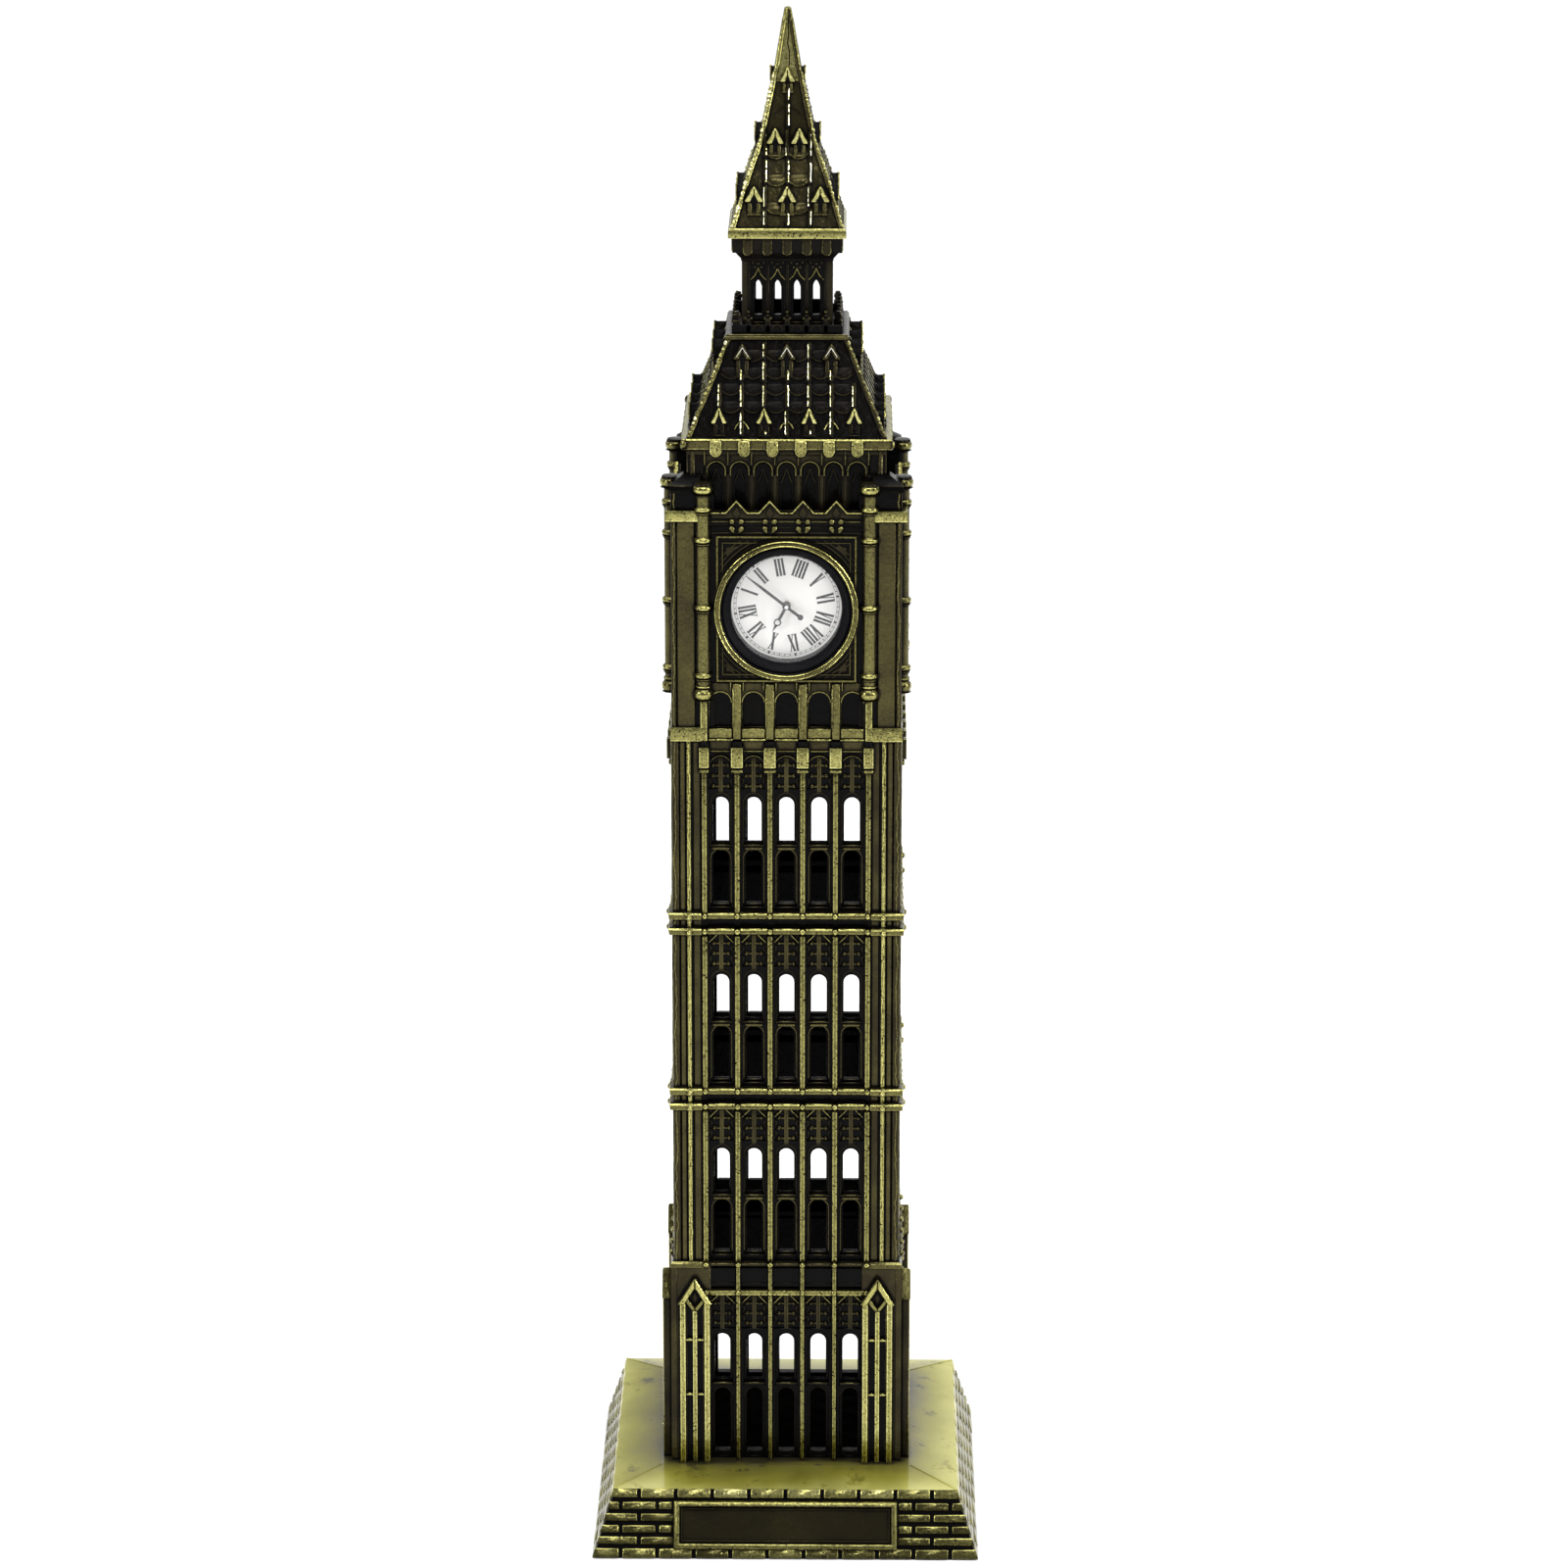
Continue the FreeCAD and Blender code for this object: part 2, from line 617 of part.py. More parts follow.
# ---- upper castings -------------------------------------------------------------------
def belfry():
    shell = square(BELFRY_HALF, (BELFRY_FOOT, BELFRY_TOP))
    shell = shell.fuse(square(INNER, (BELFRY_FOOT, BELFRY_SHOULDER)))
    inner = BELFRY_HALF - SKIN
    shell = shell.cut(square(inner, (BELFRY_FOOT - 1, BELFRY_TOP + 1)))
    arches = [
        arched(x, BELFRY_ARCH_WIDTH, BELFRY_ARCH, (BELFRY_HALF - SKIN - 1, BELFRY_HALF + 1))
        for x in spaced(BELFRY_ARCHES, BELFRY_PITCH)
    ]
    boss_room = drum(BOSS_R + BOSS_ROOM, (0, REACH))
    return shell.cut(Part.makeCompound(all_round(arches) + [boss_room]))


def slope_ribs(profile, centres, width, proud):
    """Upright ribs that follow the slope of the front side of a roof."""
    ribs = []
    for x in centres:
        lines = []
        for (half, z), (half_up, z_up) in zip(profile, profile[1:]):
            if half_up <= abs(x):
                share = (half - abs(x)) / (half - half_up)
                lines.append(((half, z), (abs(x), z + share * (z_up - z))))
                break
            lines.append(((half, z), (half_up, z_up)))
        for (half, z), (half_up, z_up) in lines:
            left = x - width / 2
            side = face([
                Vector(left, -(half + proud), z), Vector(left, -(half_up + proud), z_up),
                Vector(left, -(half_up - RIB_ROOT), z_up), Vector(left, -(half - RIB_ROOT), z),
            ])
            ribs.append(side.extrude(Vector(width, 0, 0)))
    return ribs


def hips(profile, radius):
    """Round rolls along the four corners of a roof."""
    rolls = []
    for (half, z), (half_up, z_up) in zip(profile, profile[1:]):
        start = Vector(-half, -half, z)
        run = Vector(-half_up, -half_up, z_up) - start
        roll = Part.makeCylinder(radius, run.Length, start, run)
        rolls += all_round([roll.fuse(Part.makeSphere(radius, start))])
    return rolls


def profile_half(profile, z):
    for (half, low), (half_up, high) in zip(profile, profile[1:]):
        if low <= z <= high:
            return half + (half_up - half) * (z - low) / (high - low)
    return profile[-1][0]


def dormer(profile, x, levels, width):
    """A small gabled box that stands out of the front slope."""
    foot, eave, peak = levels
    out = profile_half(profile, foot) + RIB_PROUD
    back = profile_half(profile, peak) - RIB_ROOT
    half = width / 2
    outline = [(x - half, foot), (x + half, foot), (x + half, eave), (x, peak), (x - half, eave)]
    z = (foot + DORMER_FOOT, eave)
    opening = pointed(x, width * DORMER_OPENING, z, (out - DORMER_DEPTH, out + 1), DORMER_RISE)
    return frontal(outline, (back, out)).cut(opening)


def dormers(profile, rows):
    return [
        dormer(profile, x, levels, width)
        for count, pitch, levels, width in rows for x in spaced(count, pitch)
    ]


def lower_roof():
    body = pyramid(ROOF_PROFILE)
    body = body.fuse(square(EAVE_HALF, (BELFRY_TOP, EAVE_TOP)))
    body = body.fuse(square(ROOF_DECK_HALF, (ROOF_PROFILE[-1][1], ROOF_DECK_TOP)))
    details = slope_ribs(ROOF_PROFILE, spaced(ROOF_RIBS, ROOF_RIB_PITCH), RIB_WIDTH, RIB_PROUD)
    details += dormers(ROOF_PROFILE, ROOF_DORMERS)
    body = body.multiFuse(all_round(details) + hips(ROOF_PROFILE, HIP_R))
    hollow = pyramid([(half - SKIN, z - SKIN) for half, z in ROOF_PROFILE])
    hollow = hollow.fuse(square(ROOF_PROFILE[0][0] - SKIN, (BELFRY_TOP - 5, EAVE_TOP - SKIN)))
    socket = square(LANTERN_HALF - SKIN, (190, ROOF_DECK_TOP + 1))
    spigot_half = BELFRY_HALF - SKIN
    spigot = square(spigot_half, (BELFRY_TOP - SPIGOT, BELFRY_TOP + 0.5))
    spigot = spigot.cut(square(spigot_half - SKIN, (BELFRY_TOP - 3, BELFRY_TOP + 1)))
    body = body.cut(hollow).cut(socket)
    return body.fuse(spigot)


def lantern():
    body = square(LANTERN_HALF, (ROOF_DECK_TOP, CORNICE_TOP))
    body = body.fuse(square(LANTERN_PARAPET_HALF, (ROOF_DECK_TOP, LANTERN_PARAPET_TOP)))
    body = body.fuse(pyramid(((LANTERN_HALF, LANTERN_TOP), (CORNICE_HALF, CORNICE_TOP))))
    through = (LANTERN_HALF - SKIN - 1, LANTERN_HALF + 3)
    lights = [pointed(x, LANCET_WIDTH, LANCET_Z, through) for x in spaced(LANCETS, LANCET_PITCH)]
    hollow = square(LANTERN_HALF - SKIN, (ROOF_DECK_TOP - 1, CORNICE_TOP + 1))
    body = body.cut(Part.makeCompound(all_round(lights) + [hollow]))
    gutter_z = (ROOF_DECK_TOP + GUTTER_FLOOR, LANTERN_PARAPET_TOP + 1)
    gutter = square(LANTERN_PARAPET_HALF - GUTTER_WALL, gutter_z)
    gutter = gutter.cut(square(LANTERN_HALF, (ROOF_DECK_TOP, LANTERN_PARAPET_TOP + 2)))
    spigot = square(LANTERN_HALF - SKIN, (ROOF_DECK_TOP - SPIGOT, ROOF_DECK_TOP + 1))
    spigot = spigot.cut(square(LANTERN_HALF - 2 * SKIN, (ROOF_DECK_TOP - 3, ROOF_DECK_TOP + 2)))
    return body.cut(gutter).fuse(spigot)


def spire():
    body = pyramid(SPIRE_PROFILE)
    body = body.fuse(square(SPIRE_EAVE_HALF, (CORNICE_TOP, SPIRE_EAVE_TOP)))
    ribbed = SPIRE_PROFILE[:-1]
    details = slope_ribs(ribbed, spaced(SPIRE_RIBS, SPIRE_RIB_PITCH), RIB_WIDTH, RIB_PROUD)
    details += dormers(SPIRE_PROFILE, SPIRE_DORMERS)
    body = body.multiFuse(all_round(details) + hips(ribbed, HIP_R))
    hollow = pyramid([(half - SKIN, z - SKIN) for half, z in SPIRE_PROFILE[:3]])
    hollow = hollow.fuse(square(SPIRE_PROFILE[0][0] - SKIN, (CORNICE_TOP - 1, SPIRE_EAVE_TOP - SKIN)))
    spigot = square(LANTERN_HALF - SKIN, (CORNICE_TOP - SPIGOT, CORNICE_TOP + 0.5))
    spigot = spigot.cut(square(LANTERN_HALF - 2 * SKIN, (CORNICE_TOP - 3, CORNICE_TOP + 1)))
    shelf = square(SPIRE_PROFILE[0][0] - SKIN + 0.5, (CORNICE_TOP, CORNICE_TOP + SPIRE_SHELF))
    shelf = shelf.cut(square(LANTERN_HALF - 2 * SKIN, (CORNICE_TOP - 3, CORNICE_TOP + 1)))
    return body.cut(hollow).fuse(shelf).fuse(spigot)


# ---- clock insert ---------------------------------------------------------------------
def tube(outer, inner, out, x=0.0, z=DIAL_Z):
    return drum(outer, out, x, z).cut(drum(inner, (out[0] - 1, out[1] + 1), x, z))


def insert_sleeve():
    sleeve = tube(SLEEVE_R, CASE_R, (SEAT_OUT, SLEEVE_FRONT))
    foot = Vector(0, SLEEVE_BEVEL - SLEEVE_FRONT, DIAL_Z)
    bevel = Part.makeCone(CASE_R, SLEEVE_R - SLEEVE_RIM, SLEEVE_BEVEL, foot, Vector(0, -1, 0))
    return sleeve.cut(bevel)


def crystal():
    return drum(CASE_R, CRYSTAL)


def clock_dial():
    return tube(CASE_R, DIAL_HOLE_R, DIAL)


def movement_case():
    return tube(CASE_R, CASE_R - CASE_WALL, (CASE_REAR, DIAL[0]))


def gear_outline(teeth, turn):
    """Involute outline about the origin, with a tooth on the +X axis when turn is 0."""
    pressure = math.radians(25)
    pitch_r = MODULE * teeth / 2
    base_r = pitch_r * math.cos(pressure)
    tip_r = pitch_r + 0.8 * MODULE
    root_r = pitch_r - 1.05 * MODULE
    half_tooth = 0.86 * math.pi / (2 * teeth)

    def lag(radius):
        angle = math.acos(min(1.0, base_r / radius))
        return math.tan(angle) - angle

    flank_foot = max(base_r, root_r)
    radii = [flank_foot + (tip_r - flank_foot) * k / 3 for k in range(4)]
    sides = [(radius, half_tooth + lag(pitch_r) - lag(radius)) for radius in radii]
    if root_r < base_r:
        sides.insert(0, (root_r, sides[0][1]))
    points = []
    for tooth in range(teeth):
        centre = turn + 2 * math.pi * tooth / teeth
        points += [(radius, centre - half) for radius, half in sides]
        points += [(radius, centre + half) for radius, half in reversed(sides)]
    return [(radius * math.cos(a), radius * math.sin(a)) for radius, a in points]


def gear(teeth, out, x, turn):
    outline = [(x + px, DIAL_Z + pz) for px, pz in gear_outline(teeth, turn)]
    return frontal(outline, out)


WHEEL_X = MODULE * (CANNON_TEETH + MINUTE_TEETH) / 2
KNOB_X = WHEEL_X + MODULE * (MINUTE_TEETH + SETTING_TEETH) / 2


def meshed(teeth):
    """Turn of an even gear that puts a gap on the -X side, for a tooth of its neighbour there."""
    return math.pi + math.pi / teeth


def cannon_pinion():
    body = gear(CANNON_TEETH, LOW_GEAR, 0, 0).fuse(drum(CANNON_R, (LOW_GEAR[0], MINUTE_HAND[1])))
    return body.cut(drum(ARBOR_R + RUNNING, (0, CANNON_BORE_END)))


def hour_wheel():
    body = gear(HOUR_TEETH, HIGH_GEAR, 0, 0)
    body = body.fuse(drum(HOUR_PIPE_R, (HIGH_GEAR[0], HOUR_HAND[1])))
    return body.cut(drum(CANNON_R + RUNNING, (0, REACH)))


def minute_wheel():
    body = gear(MINUTE_TEETH, LOW_GEAR, WHEEL_X, meshed(MINUTE_TEETH))
    body = body.fuse(drum(PINION_HUB_R, (LOW_GEAR[0], HIGH_GEAR[1]), WHEEL_X))
    pinion = gear(MINUTE_PINION_TEETH, HIGH_GEAR, WHEEL_X, meshed(MINUTE_PINION_TEETH))
    return body.fuse(pinion).cut(drum(MINUTE_PIN_R + RUNNING, (0, REACH), WHEEL_X))


def setting_pinion():
    """The minute wheel has even teeth, so it shows a gap on this side too: a tooth goes in it."""
    body = gear(SETTING_TEETH, LOW_GEAR, KNOB_X, 0)
    return body.fuse(drum(ARBOR_R, (KNOB[1], LOW_GEAR[1]), KNOB_X))


def setting_knob():
    knob = drum(KNOB_R, KNOB, KNOB_X)
    grooves = []
    for k in range(KNOB_GROOVES):
        angle = 2 * math.pi * k / KNOB_GROOVES
        x = KNOB_X + KNOB_R * math.cos(angle)
        grooves.append(drum(KNOB_GROOVE_R, (0, REACH), x, DIAL_Z + KNOB_R * math.sin(angle)))
    return knob.cut(Part.makeCompound(grooves))


def main_plate():
    plate = drum(CASE_R - CASE_WALL, MAIN_PLATE)
    plate = plate.fuse(drum(ARBOR_R, (MAIN_PLATE[1], ARBOR_END)))
    plate = plate.fuse(drum(MINUTE_PIN_R, (MAIN_PLATE[1], HIGH_GEAR[1]), WHEEL_X))
    return plate.cut(drum(ARBOR_R + RUNNING, (0, REACH), KNOB_X))


def case_back():
    back = drum(CASE_R, (CASE_REAR - BACK_THICK, CASE_REAR))
    rim = DIAL_Z - CASE_R
    notch = block((-NOTCH[0], NOTCH[0]), (0, REACH), (rim - 1, rim + NOTCH[1]))
    return back.cut(drum(ARBOR_R + RUNNING, (0, REACH), KNOB_X)).cut(notch)


def clocked(outline, angle):
    """An outline drawn pointing up, turned clockwise about the dial's centre."""
    turn = math.radians(angle)
    sin, cos = math.sin(turn), math.cos(turn)
    return [(x * cos + z * sin, DIAL_Z - x * sin + z * cos) for x, z in outline]


def minute_hand():
    taper = MINUTE_LENGTH * HAND_TAPER
    outline = [
        (-HAND_HALF, -MINUTE_TAIL), (HAND_HALF, -MINUTE_TAIL), (HAND_HALF, taper),
        (HAND_TIP_HALF, MINUTE_LENGTH), (-HAND_TIP_HALF, MINUTE_LENGTH), (-HAND_HALF, taper),
    ]
    blade = frontal(clocked(outline, MINUTE_AT), MINUTE_HAND)
    weight_x, weight_z = clocked([(0, -MINUTE_TAIL)], MINUTE_AT)[0]
    hand = blade.fuse(drum(MINUTE_WEIGHT_R, MINUTE_HAND, weight_x, weight_z))
    return hand.fuse(drum(MINUTE_HUB_R, MINUTE_HAND)).cut(drum(CANNON_R, (0, REACH)))


def hour_hand():
    stem_outline = [(-HAND_HALF, 0), (HAND_HALF, 0), (HAND_HALF, HOUR_EYE), (-HAND_HALF, HOUR_EYE)]
    stem = frontal(clocked(stem_outline, HOUR_AT), HOUR_HAND)
    tip_outline = [(-HOUR_TIP_HALF, HOUR_EYE), (HOUR_TIP_HALF, HOUR_EYE), (0.0, HOUR_LENGTH)]
    tip = frontal(clocked(tip_outline, HOUR_AT), HOUR_HAND)
    eye_x, eye_z = clocked([(0, HOUR_EYE)], HOUR_AT)[0]
    hand = stem.fuse(tip).fuse(drum(HOUR_EYE_R, HOUR_HAND, eye_x, eye_z)).fuse(drum(HOUR_HUB_R, HOUR_HAND))
    hand = hand.cut(drum(HOUR_EYE_HOLE_R, (0, REACH), eye_x, eye_z))
    return hand.cut(drum(HOUR_PIPE_R, (0, REACH)))


def hand_cap():
    top = MINUTE_HAND[1] + CAP_THICK
    return softened(drum(CAP_R, (MINUTE_HAND[1], top)), top, CAP_ROUND)


CELL_REAR = MAIN_PLATE[0] - CELL_GAP - CELL_THICK


def button_cell():
    cell = drum(CELL_R, (CELL_REAR, CELL_REAR + CELL_THICK - CELL_STEP), CELL_X)
    return cell.fuse(drum(CELL_R - CELL_RIM, (CELL_REAR, CELL_REAR + CELL_THICK), CELL_X))


def battery_clip():
    left, right = CELL_X + CLIP_X[0], CELL_X + CLIP_X[1]
    z = (DIAL_Z - CLIP_HALF, DIAL_Z + CLIP_HALF)
    strip = block((left, right), (CELL_REAR - CLIP_THICK, CELL_REAR), z)
    return strip.fuse(block((right - CLIP_THICK, right), (CELL_REAR, MAIN_PLATE[0]), z))


def drive_unit():
    z = [DIAL_Z + up for up in DRIVE_UP]
    return block(DRIVE_X, (DRIVE_REAR, MAIN_PLATE[0] - BOARD_THICK), z)


def circuit_board():
    board = drum(CASE_R - CASE_WALL - BOARD_GAP, (MAIN_PLATE[0] - BOARD_THICK, MAIN_PLATE[0]))
    keep = block((DRIVE_X[0] - BOARD_ROOM, CASE_R), (0, REACH), (DIAL_Z - CASE_R, DIAL_Z + CASE_R))
    return board.common(keep).cut(drum(ARBOR_R + STEM_ROOM, (0, REACH), KNOB_X))


def coil():
    out = MAIN_PLATE[0] - BOARD_THICK - COIL[0]
    return Part.makeCylinder(*COIL, Vector(TUBES_X, -out, DIAL_Z - TUBES_UP), Vector(1, 0, 0))


def quartz_can():
    out = MAIN_PLATE[0] - BOARD_THICK - QUARTZ[0]
    return Part.makeCylinder(*QUARTZ, Vector(TUBES_X, -out, DIAL_Z + TUBES_UP), Vector(1, 0, 0))


def main():
    os.makedirs("parts", exist_ok=True)
    makers = [
        plinth, base_pad, base_screws, belfry, lower_roof, lantern, spire,
        insert_sleeve, crystal, clock_dial, movement_case, main_plate, case_back,
        cannon_pinion, hour_wheel, minute_wheel, setting_pinion, setting_knob,
        minute_hand, hour_hand, hand_cap, button_cell, battery_clip,
        drive_unit, circuit_board, coil, quartz_can,
    ]
    for maker in makers:
        save(maker.__name__, maker())
    for quarter, side in enumerate(("front", "right", "rear", "left")):
        save(side + "_wall", wall(quarter))
        if quarter:
            save(side + "_dial", printed_dial(quarter))


main()
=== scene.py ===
import json
import math
import random

import bmesh
import bpy
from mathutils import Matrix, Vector


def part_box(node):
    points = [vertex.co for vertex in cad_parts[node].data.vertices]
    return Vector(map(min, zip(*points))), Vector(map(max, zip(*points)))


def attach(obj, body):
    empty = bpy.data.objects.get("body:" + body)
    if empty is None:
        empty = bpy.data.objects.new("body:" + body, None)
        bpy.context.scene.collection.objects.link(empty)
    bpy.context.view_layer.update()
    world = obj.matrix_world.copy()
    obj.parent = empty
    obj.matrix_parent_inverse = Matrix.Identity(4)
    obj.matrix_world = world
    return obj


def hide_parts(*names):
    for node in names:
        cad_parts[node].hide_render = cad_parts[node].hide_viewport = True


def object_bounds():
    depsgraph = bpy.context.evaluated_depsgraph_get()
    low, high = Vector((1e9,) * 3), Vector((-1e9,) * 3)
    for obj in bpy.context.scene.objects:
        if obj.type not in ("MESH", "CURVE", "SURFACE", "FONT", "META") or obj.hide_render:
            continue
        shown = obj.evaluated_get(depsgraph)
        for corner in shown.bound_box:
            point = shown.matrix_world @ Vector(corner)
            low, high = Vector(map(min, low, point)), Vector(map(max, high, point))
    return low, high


# The looks of the miniature clock tower. Lengths are in millimetres until a mesh is made.
# A wall is drawn from the front, as (x across, out in front of the axis, z up).
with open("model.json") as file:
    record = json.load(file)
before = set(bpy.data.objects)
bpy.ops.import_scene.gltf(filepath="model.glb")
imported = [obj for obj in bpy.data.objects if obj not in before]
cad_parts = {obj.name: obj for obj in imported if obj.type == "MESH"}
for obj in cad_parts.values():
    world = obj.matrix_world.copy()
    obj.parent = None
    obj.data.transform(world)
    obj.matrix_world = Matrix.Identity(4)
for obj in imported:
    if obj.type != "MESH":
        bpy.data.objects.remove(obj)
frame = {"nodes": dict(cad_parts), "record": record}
cad_low, cad_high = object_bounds()

MM = 0.001
SIDES = ("front", "right", "rear", "left")
BOTH = (-1, 1)
FAR = 60  # past any corner: what reaches this far is cut off at its wall's mitre


def span(node):
    """Lowest and highest corner of a CAD node, in millimetres."""
    low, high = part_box(node)
    return [v / MM for v in low], [v / MM for v in high]


def spaced(count, pitch):
    return [(k - (count - 1) / 2) * pitch for k in range(count)]


# ---- levels and plan sizes that the castings share ----
DECK = span("plinth")[1][2]
BASE_HALF = span("plinth")[1][0]
CROWN_HALF, CROWN_Z, DECK_HALF = 28.25, 10.9, 20.6
INNER, GROUND, SHAFT, FIELD = 16.2, 18.8, 18.2, 17.45
GROUND_TOP = 46.6
BAY = 5.25
BAYS = spaced(5, BAY)
BAY_EDGES = spaced(6, BAY)
WINDOW, REAR_WINDOW = 2.5, 3.1
STRING, STOREY, STOREYS = 45.35, 29.85, 3
CORNER_BAR = 15.6
STAGE_SILL, ARCADE_TOP = 137.6, 143.5
DIAL_Z = (span("clock_dial")[0][2] + span("clock_dial")[1][2]) / 2
RING_R, BORE_R, RING_OUT = 11.46, 10.28, 19.4
PARAPET, PEAK = 172.8, 174.7
COLUMN_X, COLUMN_OUT = 13.15, 18.38
ROOF = ((15.4, 184.2), (12.5, 191.0), (10.05, 196.8), (9.3, 198.7))
SPIRE = ((8.49, 216.4), (6.0, 224.3), (4.08, 229.6), (2.17, 238.6), (0.35, 250.0))

# How far the patina is wiped back: 0 black, 0.4 olive brown, 1 bright brass; above 1 is a painted silvery
# glint.
BLACK, SOOT, BROWN, OLIVE, WORN, BRIGHT, PAINTED_GLINT = 0.0, 0.1, 0.25, 0.42, 0.62, 0.9, 1.5

SHARP_FOLD = 0.6  # radians between two faces, above which their edge is rounded
SMOOTH_FOLD = 38  # degrees, below which an edge is shaded smooth


# ---- outlines, as lists of (x, z) points ----
def facing(x, side, points):
    """Points given by their distance from a middle, laid out to one side of it."""
    return [(x + side * distance, z) for distance, z in points]


def over(x, rising):
    """A path that rises to a peak at x and comes down the same way."""
    return facing(x, -1, rising) + facing(x, 1, rising[-2::-1])


def arc(x, z, radius, first, last, steps):
    """Points on an arc, from angles in degrees above the +X direction."""
    angles = [math.radians(first + (last - first) * k / steps) for k in range(steps + 1)]
    return [(x + radius * math.cos(a), z + radius * math.sin(a)) for a in angles]


def stilted(x, foot, spring, radius):
    """A round arch on two straight legs."""
    return [(x - radius, foot)] + arc(x, spring, radius, 180, 0, 12) + [(x + radius, foot)]


def rectangle(half, low, high, x=0):
    return [(x - half, low), (x + half, low), (x + half, high), (x - half, high)]


def diamond(x, half, low, middle, high):
    return [(x, low), (x - half, middle), (x, high), (x + half, middle)]


# ---- where a point of a side goes ----
def flat_front(x, out, z):
    """A wall's own coordinates to the row's, cut off at the 45 degree mitre of its corner."""
    return (max(-out, min(out, x)), -out, z)


def uncut(x, out, z):
    return (x, -out, z)


def half_at(profile, z):
    """Half width of a roof or plinth at a height."""
    for (half, low), (half_up, high) in zip(profile, profile[1:]):
        if z <= high:
            return half + (half_up - half) * (z - low) / (high - low)
    return profile[-1][0]


def on_slope(profile):
    """Places a point on a sloping side, where out is counted from the slope."""
    def place(x, out, z):
        return flat_front(x, half_at(profile, z) + out, z)
    return place


def turned_corner(x, y, z, quarter):
    for _ in range(quarter):
        x, y = -y, x
    return (x, y, z)


def solid(out):
    """One distance out stands for a face with metal behind it, back to the wall's inner side."""
    return out if isinstance(out, (tuple, list)) else (INNER, out)


def polish_and_side_shade(tone, normal):
    """Polishing reaches what faces out, and some of what faces up: other sides stay darker, partly as less
    wear and partly as painted shade.
    """
    reach = max(normal.y, 0.85 * normal.z, 0.0)
    return tone * (0.3 + 0.7 * reach)


def placed(name, data, location=(0, 0, 0), turn=(0, 0, 0)):
    """A new object in the scene."""
    made = bpy.data.objects.new(name, data)
    made.location = location
    made.rotation_euler = turn
    bpy.context.scene.collection.objects.link(made)
    return made


